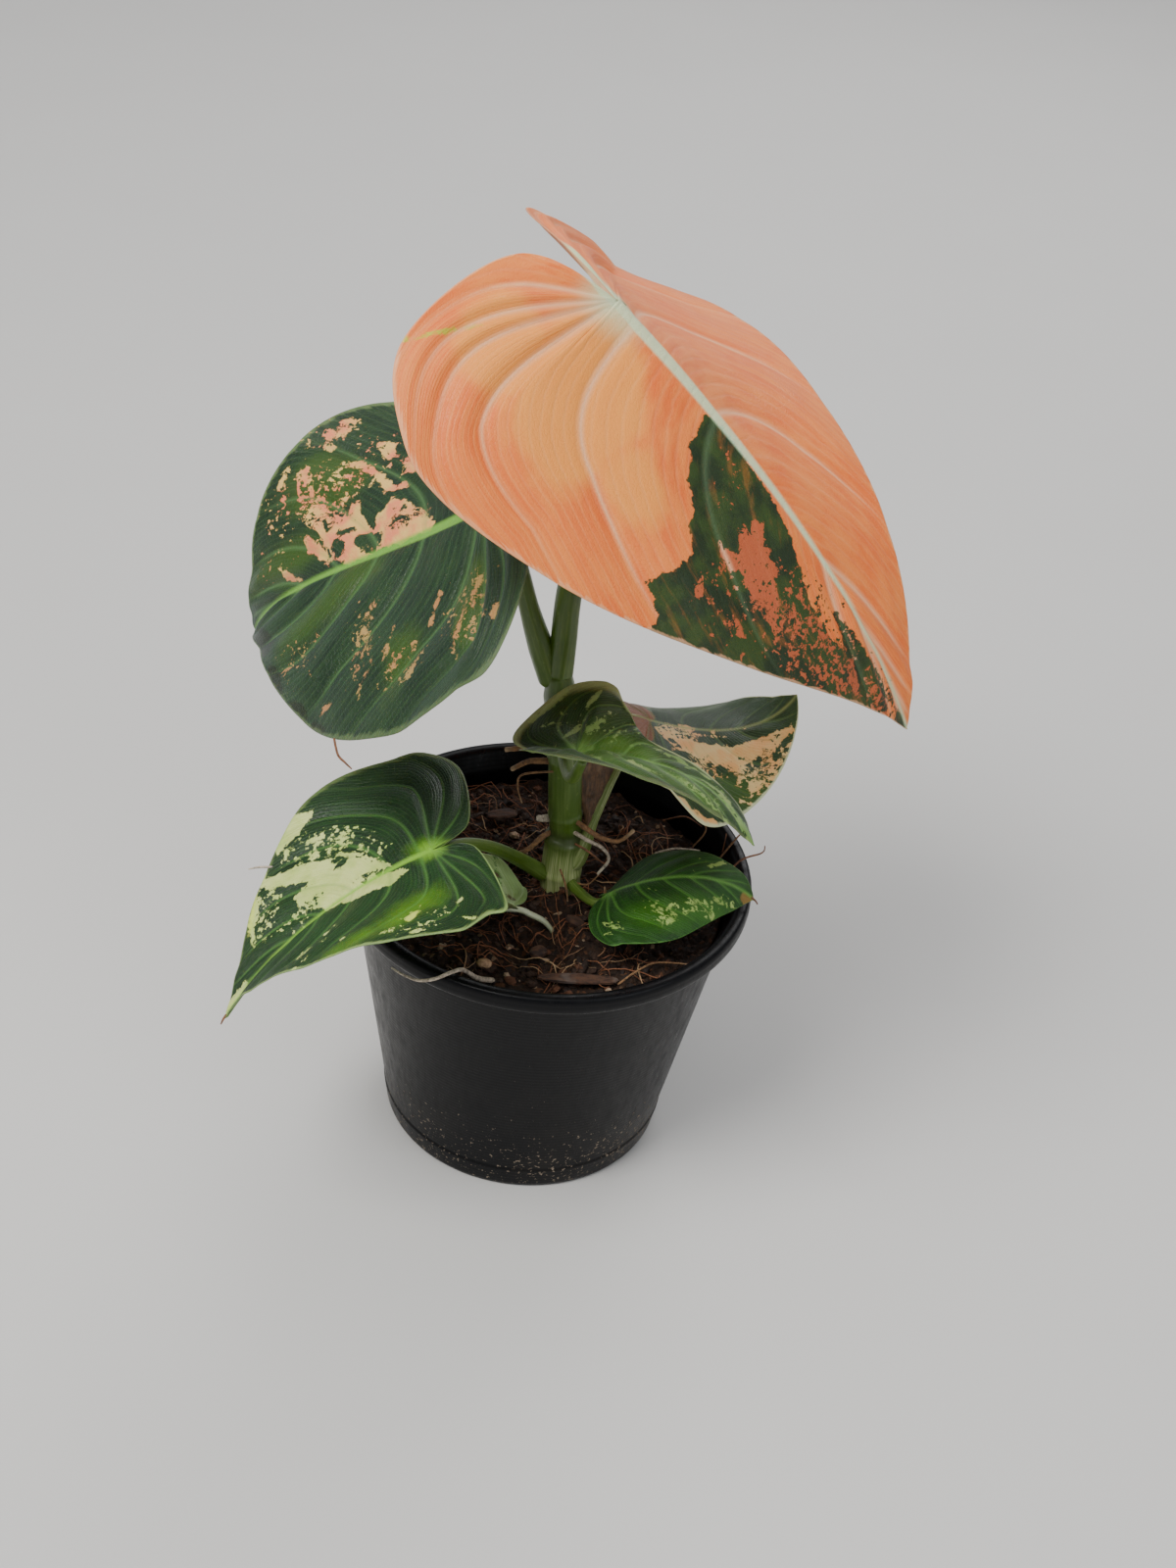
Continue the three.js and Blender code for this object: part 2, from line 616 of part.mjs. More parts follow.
function add(name, geometry, colour, roughness) {
  geometry.computeVertexNormals();
  const material = new THREE.MeshStandardMaterial({ color: colour, roughness, metalness: 0 });
  const mesh = new THREE.Mesh(geometry, material);
  mesh.name = name;
  group.add(mesh);
  return geometry;
}

// A thin curved sheet between two edges of equally many points, bulging to the front.
function sheetGeometry({ stemEdge, stalkEdge, thickness, bulge }) {
  const face = (offset) => stemEdge.map((start, row) => {
    const from = vec(...start);
    const to = vec(...stalkEdge[row]);
    return Array.from({ length: SHEATH_COLUMNS + 1 }, (_, i) => {
      const share = i / SHEATH_COLUMNS;
      const point = from.clone().lerp(to, share);
      point.y += offset - bulge * Math.sin(Math.PI * share);
      return point;
    });
  });
  const front = face(-thickness / 2);
  const back = face(thickness / 2);
  const rows = stemEdge.length - 1;
  const triangles = [];
  for (let row = 0; row < rows; row += 1) {
    for (let i = 0; i < SHEATH_COLUMNS; i += 1) {
      const cell = (grid) => [grid[row][i], grid[row][i + 1], grid[row + 1][i + 1], grid[row + 1][i]];
      triangles.push(...quad(...cell(front), false), ...quad(...cell(back), true));
    }
    for (const [i, flip] of [[0, false], [SHEATH_COLUMNS, true]]) {
      const edge = [front[row][i], front[row + 1][i], back[row + 1][i], back[row][i]];
      triangles.push(...quad(...edge, flip));
    }
  }
  for (let i = 0; i < SHEATH_COLUMNS; i += 1) {
    for (const [row, flip] of [[0, true], [rows, false]]) {
      const end = [front[row][i], front[row][i + 1], back[row][i + 1], back[row][i]];
      triangles.push(...quad(...end, flip));
    }
  }
  return closedGeometry(triangles);
}

// A rough bark chip: a box with its corners drawn in unevenly.
function chipGeometry([length, width, height]) {
  const chip = new THREE.BoxGeometry(length, width, height, 2, 1, 1);
  const position = chip.getAttribute("position");
  for (let i = 0; i < position.count; i += 1) {
    const [x, y, z] = [position.getX(i), position.getY(i), position.getZ(i)];
    const uneven = CHIP_UNEVENNESS * Math.sin(3 * x + 5 * y);
    const taper = 1 - CHIP_TAPER * Math.abs(x / length) - uneven;
    position.setXYZ(i, x, y * taper, z > 0 ? z * taper : z);
  }
  return closedGeometry(trianglesOf(chip));
}

// Lays a piece on the soil: its lowest point ends a gap above the highest soil within its reach.
function layOnSoil(geometry, [x, y], reach) {
  const directions = 12;
  let highest = soilHeight(x, y);
  for (let turn = 0; turn < directions; turn += 1) {
    const angle = (2 * Math.PI * turn) / directions;
    for (const radius of [reach / 2, reach]) {
      const height = soilHeight(x + radius * Math.cos(angle), y + radius * Math.sin(angle));
      highest = Math.max(highest, height);
    }
  }
  geometry.computeBoundingBox();
  geometry.translate(x, y, highest + GAP - geometry.boundingBox.min.z);
  return geometry;
}

const BLACK_PLASTIC = 0x15161a;
const SOIL_BROWN = 0x2a1d16;
const STEM_GREEN = 0x5f7a2e;
const ROOT_TAN = 0x9a7b58;
const STRAND_CREAM = 0xd8cfc0;
const SHEATH_BROWN = 0x6a3f28;
const BARK_BROWN = 0x5a3b26;
const PEBBLE_TAN = 0xb08a62;
const BLADE_COLOURS = {
  top: 0xe79a72, left: 0x2f4a38, low_left: 0x3f6a3c, twisted: 0x4f7a3a,
  right: 0x7f8a4c, low_right: 0x3e6a38, small: 0xbccf9a,
};
const STALK_COLOURS = {
  top: 0x6b8433, left: 0x6b8433, low_left: 0x6b8433, twisted: 0x6b8433,
  right: 0x9aab5c, low_right: 0x7d9446, small: 0xd9dcc4,
};

const stem = taperedTube(STEM_LINE, STEM_RADII, STEM_FACETS);
const stemCutter = clearanceTube(STEM_LINE, STEM_RADII, STEM_FACETS);

add("nursery_pot", potGeometry(), BLACK_PLASTIC, 0.4);
const soil = add("potting_soil", soilGeometry(stemCutter), SOIL_BROWN, 0.95);
add("main_stem", stem, STEM_GREEN, 0.5);

const soilCutter = soil.clone().translate(0, 0, GAP);
const stalkCutters = [];
for (const [name, leaf] of Object.entries(LEAVES)) {
  const line = [...STALKS[name].line, stalkTop(leaf)];
  const { radii } = STALKS[name];
  const blade = bladeGeometry(leaf);
  add(name + "_leaf_blade", blade, BLADE_COLOURS[name], 0.6);
  const stalk = taperedTube(line, radii, STALK_FACETS);
  const cutters = [stemCutter, ...trimBlocks(leaf), soilCutter, ...stalkCutters];
  add(name + "_leaf_stalk", cut(stalk, ...cutters), STALK_COLOURS[name], 0.5);
  stalkCutters.push(clearanceTube(line, radii, STALK_FACETS));
}

add("dry_sheath", cut(sheetGeometry(SHEATH), stemCutter, ...stalkCutters), SHEATH_BROWN, 0.7);

for (const [name, { line, radius }] of Object.entries(ROOTS)) {
  const radii = line.map((_, i) => radius * (1 - (ROOT_THINNING * i) / (line.length - 1)));
  const root = taperedTube(line, radii, ROOT_FACETS);
  add(name, cut(root, stemCutter, soilCutter, ...stalkCutters), ROOT_TAN, 0.8);
}
const strandRadii = RIM_STRAND.line.map(() => RIM_STRAND.radius);
const strand = taperedTube(RIM_STRAND.line, strandRadii, STRAND_FACETS);
add("rim_root_strand", cut(strand, soilCutter), STRAND_CREAM, 0.7);

for (const [name, { at, size, turn }] of Object.entries(CHIPS)) {
  const chip = chipGeometry(size);
  chip.rotateZ(radians(turn));
  add(name, layOnSoil(chip, at, size[0] / 2), BARK_BROWN, 0.9);
}
const pebble = closedGeometry(trianglesOf(new THREE.SphereGeometry(1, ...PEBBLE.facets)));
pebble.scale(...PEBBLE.radii);
add("pebble", layOnSoil(pebble, PEBBLE.at, PEBBLE.radii[0]), PEBBLE_TAN, 0.7);

export default group;
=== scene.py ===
"""A potted variegated heart-leaf climber: seven leaves on one stem in a round black nursery pot.

Lengths in the tables are millimetres, because the plant was measured in them, and every mesh is made
in metres. The origin is the middle of the pot's base, +Z is up and the front of the plant faces -Y.
"""
import math
from contextlib import contextmanager

import bmesh
import bpy
import numpy as np
from mathutils import Matrix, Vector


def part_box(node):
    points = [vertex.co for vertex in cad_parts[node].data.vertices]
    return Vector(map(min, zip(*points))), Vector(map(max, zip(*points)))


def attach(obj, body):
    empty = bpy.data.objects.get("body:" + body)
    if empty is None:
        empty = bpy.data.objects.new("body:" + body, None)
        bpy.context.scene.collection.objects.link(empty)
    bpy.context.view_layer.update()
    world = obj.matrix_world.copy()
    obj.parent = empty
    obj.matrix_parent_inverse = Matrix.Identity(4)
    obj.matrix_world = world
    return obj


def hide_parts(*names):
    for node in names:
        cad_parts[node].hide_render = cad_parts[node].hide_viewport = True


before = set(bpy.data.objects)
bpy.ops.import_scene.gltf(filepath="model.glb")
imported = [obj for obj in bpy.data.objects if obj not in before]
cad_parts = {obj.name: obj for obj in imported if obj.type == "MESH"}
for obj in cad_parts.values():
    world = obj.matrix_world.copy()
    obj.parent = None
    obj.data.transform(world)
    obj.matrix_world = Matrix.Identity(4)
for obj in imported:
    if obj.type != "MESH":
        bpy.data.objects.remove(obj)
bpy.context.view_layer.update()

bl_info = {
    "name": "Potted Heart-Leaf Climber",
    "version": (1, 0, 0),
    "blender": (4, 5, 0),
    "location": "View3D > Sidebar > Climber",
    "description": "Builds a variegated climbing houseplant in its nursery pot around a fixed frame",
    "category": "Add Mesh",
}

POT_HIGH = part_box("nursery_pot")[1]
MM = 0.001

# Sizes


class PotSettings(bpy.types.PropertyGroup):
    """Sizes and colours of the nursery pot."""
    rim_radius: bpy.props.FloatProperty(
        name="Rim Radius", description="Outer radius of the rolled rim",
        default=POT_HIGH.x, unit="LENGTH", subtype="DISTANCE")
    height: bpy.props.FloatProperty(
        name="Height", description="Height of the pot from the ground to the top of its rim",
        default=POT_HIGH.z, unit="LENGTH", subtype="DISTANCE")
    plastic: bpy.props.FloatVectorProperty(
        name="Plastic", description="Colour of the moulded plastic",
        default=(0.0032, 0.0034, 0.0042), size=3, subtype="COLOR", min=0, max=1)
    dust: bpy.props.FloatVectorProperty(
        name="Dust", description="Colour of the dried soil specks on the wall",
        default=(0.34, 0.27, 0.2), size=3, subtype="COLOR", min=0, max=1)


class SoilSettings(bpy.types.PropertyGroup):
    """Grain and colours of the potting mix."""
    grain: bpy.props.FloatProperty(
        name="Grain", description="Height of the grains of the mix above its mean surface",
        default=1.0 * MM, unit="LENGTH", subtype="DISTANCE")
    crumbs: bpy.props.IntProperty(
        name="Crumbs", description="Number of loose crumbs on the mix", default=1500, min=0)
    fibres: bpy.props.IntProperty(
        name="Fibres", description="Number of coir fibres on the mix", default=330, min=0)
    peat: bpy.props.FloatVectorProperty(
        name="Peat", description="Colour of the moist peat",
        default=(0.016, 0.0095, 0.007), size=3, subtype="COLOR", min=0, max=1)
    coir: bpy.props.FloatVectorProperty(
        name="Coir", description="Colour of the coir fibres",
        default=(0.3, 0.115, 0.05), size=3, subtype="COLOR", min=0, max=1)


class StemSettings(bpy.types.PropertyGroup):
    """Colours of the stem, the stalks and the aerial roots."""
    green: bpy.props.FloatVectorProperty(
        name="Green", description="Colour of the young stem and stalks",
        default=(0.066, 0.125, 0.012), size=3, subtype="COLOR", min=0, max=1)
    pale: bpy.props.FloatVectorProperty(
        name="Pale", description="Colour of the pale streaks and the stem's foot",
        default=(0.24, 0.32, 0.08), size=3, subtype="COLOR", min=0, max=1)
    root: bpy.props.FloatVectorProperty(
        name="Root", description="Colour of the aerial roots",
        default=(0.32, 0.17, 0.075), size=3, subtype="COLOR", min=0, max=1)


class LeafSettings(bpy.types.PropertyGroup):
    """Relief, thickness and sheen of the leaf blades."""
    relief: bpy.props.FloatProperty(
        name="Relief", description="Height of the puffed strips between the veins of the largest leaf",
        default=1.0 * MM, unit="LENGTH", subtype="DISTANCE")
    thickness: bpy.props.FloatProperty(
        name="Thickness", description="Thickness of a blade between its veins",
        default=0.5 * MM, unit="LENGTH", subtype="DISTANCE")
    rows: bpy.props.IntProperty(
        name="Rows", description="Rows of faces from the midrib to the margin", default=60, min=8)
    columns: bpy.props.IntProperty(
        name="Columns", description="Rows of faces round a blade's margin", default=220, min=24)


class StageSettings(bpy.types.PropertyGroup):
    """The floor, the lights and the camera."""
    floor: bpy.props.FloatVectorProperty(
        name="Floor", description="Colour of the plain floor",
        default=(0.62, 0.61, 0.59), size=3, subtype="COLOR", min=0, max=1)
    lens: bpy.props.FloatProperty(
        name="Lens", description="Focal length of the camera on a 36 mm sensor", default=50, min=10)
    pitch: bpy.props.FloatProperty(
        name="Pitch", description="How far the camera looks down",
        default=math.radians(36), subtype="ANGLE", unit="ROTATION")
    roll: bpy.props.FloatProperty(
        name="Roll", description="How far the camera leans over its line of sight",
        default=math.radians(7), subtype="ANGLE", unit="ROTATION")
    distance: bpy.props.FloatProperty(
        name="Distance", description="From the camera to the middle of the plant",
        default=0.56, unit="LENGTH", subtype="DISTANCE")


# Meshes

# Points of a mesh nearer than this, in metres, become one.
MERGE_REACH = 1e-7
# How much of its radius a tube's end is rounded over, and the least share of it left at the end.
END_ROUND, END_SHARE = 0.6, 0.05
# Lines of the lattice of the lump noise before it repeats.
LATTICE = 256


@contextmanager
def reworked(mesh):
    """A mesh opened for edits by bmesh and written back after them."""
    work = bmesh.new()
    work.from_mesh(mesh)
    yield work
    work.to_mesh(mesh)
    work.free()


def put_surface(name, points, faces, body="root", slot=None, replaces=(), materials=(),
                attributes=None, face_materials=None, smooth=True):
    """A mesh object from points in millimetres and an array of quads or triangles. Points that
    coincide become one, which closes poles and seams."""
    points = np.asarray(points, float).reshape(-1, 3) * MM
    mesh = bpy.data.meshes.new(name)
    mesh.vertices.add(len(points))
    mesh.vertices.foreach_set("co", points.astype(np.float32).ravel())
    mesh.loops.add(faces.size)
    mesh.loops.foreach_set("vertex_index", faces.astype(np.int32).ravel())
    mesh.polygons.add(len(faces))
    starts = np.arange(0, faces.size, faces.shape[1], dtype=np.int32)
    mesh.polygons.foreach_set("loop_start", starts)
    if face_materials is not None:
        mesh.polygons.foreach_set("material_index", face_materials.astype(np.int32))
    for key, values in (attributes or {}).items():
        kind, entry = ("FLOAT_VECTOR", "vector") if values.ndim > 1 else ("FLOAT", "value")
        layer = mesh.attributes.new(key, kind, "POINT")
        layer.data.foreach_set(entry, values.astype(np.float32).ravel())
    mesh.update(calc_edges=True)
    mesh.validate()
    with reworked(mesh) as work:
        bmesh.ops.remove_doubles(work, verts=work.verts, dist=MERGE_REACH)
        bmesh.ops.dissolve_degenerate(work, edges=work.edges, dist=MERGE_REACH)
    mesh.polygons.foreach_set("use_smooth", np.full(len(mesh.polygons), smooth))
    for material in materials:
        mesh.materials.append(material)
    piece = bpy.data.objects.new(name, mesh)
    bpy.context.scene.collection.objects.link(piece)
    if body:
        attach(piece, body)
    if replaces:
        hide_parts(*replaces)
    return piece


def grid_faces(rows, columns, wrap_rows=False, wrap_columns=False, flip=False):
    """Quads of a grid of rows x columns points, numbered row by row, joined round where wrapped."""
    r = np.arange(rows if wrap_rows else rows - 1)
    c = np.arange(columns if wrap_columns else columns - 1)
    r, c = np.meshgrid(r, c, indexing="ij")
    r2, c2 = (r + 1) % rows, (c + 1) % columns
    quads = np.stack([r * columns + c, r * columns + c2, r2 * columns + c2, r2 * columns + c], -1)
    quads = quads.reshape(-1, 4)
    return quads[:, ::-1] if flip else quads


def put_rings(name, rings, flip=False, **more):
    """A surface through rings of points, an array of rings x places round x 3."""
    return put_surface(name, rings, grid_faces(*rings.shape[:2], wrap_columns=True, flip=flip), **more)


def smooth_by_angle(piece, degrees):
    """Smooth shading with creases where faces meet at more than some degrees."""
    with reworked(piece.data) as work:
        for edge in work.edges:
            edge.smooth = edge.calc_face_angle(0) < math.radians(degrees)
    piece.data.polygons.foreach_set("use_smooth", np.ones(len(piece.data.polygons), bool))


def face_outwards(piece):
    """Turns a closed mesh's faces outwards."""
    with reworked(piece.data) as work:
        bmesh.ops.recalc_face_normals(work, faces=work.faces)


def smooth_line(points, share):
    """Places on the smooth curve through points, at shares 0 to 1 of their count: each stretch is a
    cubic whose slope at a point is half the step between that point's two neighbours."""
    points = np.asarray(points, float)
    last = len(points) - 1
    place = np.clip(share, 0, 1) * last
    k = np.minimum(np.floor(place).astype(int), last - 1)
    w = (place - k)[..., None]
    a, b, c, d = (points[np.clip(k + step, 0, last)] for step in (-1, 0, 1, 2))
    into, out = (c - a) / 2, (d - b) / 2
    return (2 * b - 2 * c + into + out) * w**3 + (3 * c - 3 * b - 2 * into - out) * w**2 + into * w + b


def unit(vectors):
    """Vectors at length one."""
    return vectors / np.maximum(np.linalg.norm(vectors, axis=-1, keepdims=True), 1e-12)


def round_angles(count):
    """Even angles round a full turn: 2 pi k / count."""
    return 2 * np.pi * np.arange(count) / count


def step_up(low, high, x):
    """A smooth change from 0 at low to 1 at high, whichever of them is larger: 3w^2 - 2w^3 of the
    share w of the way between them."""
    w = np.clip((x - low) / (high - low), 0, 1)
    return w * w * (3 - 2 * w)


def bell(x, width):
    """A bell of height one round x = 0: e^-(x / width)^2."""
    return np.exp(-((x / width) ** 2))


def tube_rings(lines, radii, sides, across=(0, 0, 1), swell=1):
    """Rings round many lines at once. lines is (count, steps, 3) and radii (count, steps): a ring's
    points are its centre plus radius times (cos a x side + sin a x other), where side is square to
    the line and to the across direction. swell multiplies the radius over (steps, sides). The first
    and the last ring shrink to the line's ends, which closes the tube."""
    tangent = unit(np.gradient(lines, axis=1))
    side = unit(np.cross(tangent, np.asarray(across, float)))
    other = np.cross(tangent, side)
    a = round_angles(sides)
    ring = side[:, :, None] * np.cos(a)[:, None] + other[:, :, None] * np.sin(a)[:, None]
    reach = radii[:, :, None] * swell
    points = lines[:, :, None] + ring * reach[..., None]
    return np.concatenate([lines[:, :1, None] + 0 * points[:, :1], points,
                           lines[:, -1:, None] + 0 * points[:, -1:]], axis=1)


def tube_faces(count, steps, sides):
    """Quads of count tubes of tube_rings, whose two ends are closed by a pole each."""
    one = grid_faces(steps + 2, sides, wrap_columns=True)
    start = (np.arange(count) * (steps + 2) * sides)[:, None, None]
    return (start + one).reshape(-1, 4)


def put_tube(name, line, radii, steps, sides, across=(0, 0, 1), swell=1, **more):
    """One tube along a smooth line, with radii spread evenly over its points, and rounded ends: the
    radius falls off as a quarter circle over the last of its length. Its attribute way holds the
    metres walked along it and the shares of the way round and along."""
    share = np.linspace(0, 1, steps)
    centre = smooth_line(line, share)
    radius = np.interp(share, np.linspace(0, 1, len(radii)), radii)
    walked = np.concatenate([[0], np.cumsum(np.linalg.norm(np.diff(centre, axis=0), axis=1))])
    nearest = np.minimum(walked, walked[-1] - walked)
    fall = np.clip(nearest / np.maximum(END_ROUND * radius, 1e-6), 0, 1)
    radius = radius * np.sqrt(np.clip(1 - (1 - fall) ** 2, END_SHARE, 1))
    rings = tube_rings(centre[None], radius[None], sides, across, swell)
    along = np.repeat(np.concatenate([[0], share, [1]]), sides)
    metres = np.repeat(np.concatenate([[0], walked, walked[-1:]]), sides) * MM
    way = np.stack([metres, np.tile(np.arange(sides) / sides, steps + 2), along], -1)
    put_surface(name, rings, tube_faces(1, steps, sides), attributes={"way": way}, **more)


def lattice_noise(x, y, size, seed):
    """Smooth lumps about size across, from -1 to 1: random heights on a square lattice, blended by
    3w^2 - 2w^3 between the four corners round each place."""
    heights = np.random.default_rng(seed).uniform(-1, 1, (LATTICE, LATTICE))
    x, y = np.asarray(x) / size, np.asarray(y) / size
    i, j = np.floor(x).astype(int), np.floor(y).astype(int)
    w, q = step_up(0, 1, x - i), step_up(0, 1, y - j)

    def between(row):
        """Heights of one row of the lattice at i + w: near (1 - w) + far w."""
        near, far = heights[i % LATTICE, row % LATTICE], heights[(i + 1) % LATTICE, row % LATTICE]
        return near * (1 - w) + far * w

    return between(j) * (1 - q) + between(j + 1) * q


# Finishes


class Finish:
    """A material and short ways to add nodes to it."""

    def __init__(self, name, **shader):
        """A new material whose Principled shader has some inputs set by name."""
        self.material = bpy.data.materials.new(name)
        self.material.use_nodes = True
        self.tree = self.material.node_tree
        self.shader = self.tree.nodes["Principled BSDF"]
        self.feed(self.shader, shader)

    def feed(self, node, inputs):
        """Links or sets a node's inputs, and makes a colour of three numbers opaque."""
        for key, value in inputs.items():
            socket = node.inputs[key.replace("_", " ") if isinstance(key, str) else key]
            if isinstance(value, bpy.types.NodeSocket):
                self.tree.links.new(value, socket)
            elif socket.type == "RGBA":
                socket.default_value = (*value, 1)
            else:
                socket.default_value = value

    def add(self, kind, inputs=None, **settings):
        """A new node of some kind, with its settings made and its inputs fed."""
        node = self.tree.nodes.new("ShaderNode" + kind)
        for key, value in settings.items():
            setattr(node, key, value)
        self.feed(node, inputs or {})
        return node

    def place(self):
        """The place on the object, in metres."""
        return self.add("TexCoord").outputs["Object"]

    def read(self, name, output="Fac"):
        """The mesh's attribute of some name, as one number or as a Vector."""
        return self.add("Attribute", attribute_name=name).outputs[output]

    def split(self, vector):
        """The three parts of a vector."""
        return self.add("SeparateXYZ", {0: vector}).outputs

    def noise(self, place, scale, detail=4.0, roughness=0.55, distortion=0.0):
        """Lumps round one half, with scale of them to a metre."""
        return self.add("TexNoise", {"Vector": place, "Scale": scale, "Detail": detail,
                                     "Roughness": roughness, "Distortion": distortion}).outputs[0]

    def stretch(self, place, scale):
        """A place whose three parts are each multiplied by their own scale."""
        return self.add("Mapping", {"Vector": place, "Scale": scale}).outputs[0]

    def math(self, operation, a, b=0.0, c=0.0):
        """The operation of that name on up to three numbers."""
        return self.add("Math", {0: a, 1: b, 2: c}, operation=operation).outputs[0]

    def times(self, a, b, plus=None):
        """a times b, plus another number where one is given."""
        return self.math("MULTIPLY", a, b) if plus is None else self.math("MULTIPLY_ADD", a, b, plus)

    def centred(self, noise):
        """A noise less one half, so that it lies round zero."""
        return self.math("SUBTRACT", noise, 0.5)

    def rise(self, value, low, high, to=(0.0, 1.0)):
        """value carried smoothly from low..high to the two numbers in to."""
        return self.add("MapRange", {0: value, 1: low, 2: high, 3: to[0], 4: to[1]},
                        interpolation_type="SMOOTHSTEP").outputs[0]

    def spread(self, noise, low=0.0, high=1.0):
        """A noise carried from the range that it mostly fills to low..high."""
        return self.rise(noise, 0.3, 0.7, (low, high))

    def mix(self, share, a, b, how="MIX"):
        """a (1 - share) + b share for two colours, or the blend that how names."""
        return self.add("Mix", {0: share, 6: a, 7: b}, data_type="RGBA", blend_type=how).outputs[2]

    def bump(self, height, distance, strength):
        """The normal tilted by the slopes of height x distance, by a share strength."""
        return self.add("Bump", {"Height": height, "Distance": distance,
                                 "Strength": strength}).outputs[0]

    def wear(self, colour, roughness, bump):
        """Links colour, roughness and bump to the shader and gives back the material."""
        self.feed(self.shader, {"Base_Color": colour, "Roughness": roughness, "Normal": bump})
        return self.material


def shaded(colour, share):
    """A colour with each of its parts at a share of its strength."""
    return tuple(share * part for part in colour)


# Leaves

# The veins that end on the first share of the margin start along the midrib, spread by a power, and
# the others start at its foot.
MIDRIB_SHARE, VEIN_START_POWER = 0.55, 1.15
# How far a vein has drifted towards the tip at the margin, and the power of its drift with the way
# out from the midrib, against the place along the margin.
DRIFT = ((0, 0.2, 0.3, 0.44, 0.6, 0.75, 0.87, 1), (0, 0.16, 0.2, 0.26, 0.2, 0.1, 0, 0))
DRIFT_POWER = ((0, 0.3, 0.4, 0.6, 1), (1.2, 1.4, 2, 3.5, 5))
VEIN_ARCH = 0.25
# Where a half leaf is widest, as a share of its length. Then the middle of its lobe and the lobe's
# inner edge, as shares of the lobe's length, with the width at that middle.
WIDEST_PLACE = 0.02
LOBE_MIDDLE, LOBE_MIDDLE_WIDTH, LOBE_INNER = 0.55, 0.93, 0.8
# Stretches over which the midrib's bend is summed.
BEND_STEPS = 8
# The places of a half leaf's outline between its tip and where it is widest, as shares of its
# length.
FRONT_PLACES = (0.87, 0.6, 0.3)
# Relief and thickness go with the root of a leaf's length beside the largest leaf's, down to a
# least share.
LARGEST_LENGTH, LEAST_SIZE = 132, 0.45
# Relief as shares of its height: the strips between the veins, the trenches beside the veins, the
# finer ribs, the wave near the margin and the groove over the midrib.
STRIPS, TRENCHES, FINE_RIBS, WAVE, GROOVE = 0.6, 0.4, 0.03, 0.3, 0.35
# Half widths on the largest leaf, and the distance between veins under which the relief shrinks.
TRENCH_WIDTH, GROOVE_WIDTH, CROWDED = 1.5, 1.6, 6
FINE_RIBS_PER_STRIP = 6
# Pleats round a crumpled foot, and how far from it they are highest.
PLEATS, PLEAT_REACH = 7, 10
# Ribs under a blade: height and half width of the midrib's on the largest leaf, and of the veins',
# whose height is a share of the relief.
MIDRIB_HEIGHT, MIDRIB_HALF_WIDTH, VEIN_HEIGHT, VEIN_HALF_WIDTH = 0.9, 1.5, 0.25, 0.8
# Depth of a place that lies far outside every spot, and the widest gap between veins that is told
# apart.
FAR_OUTSIDE, WIDEST_GAP = -30.0, 60

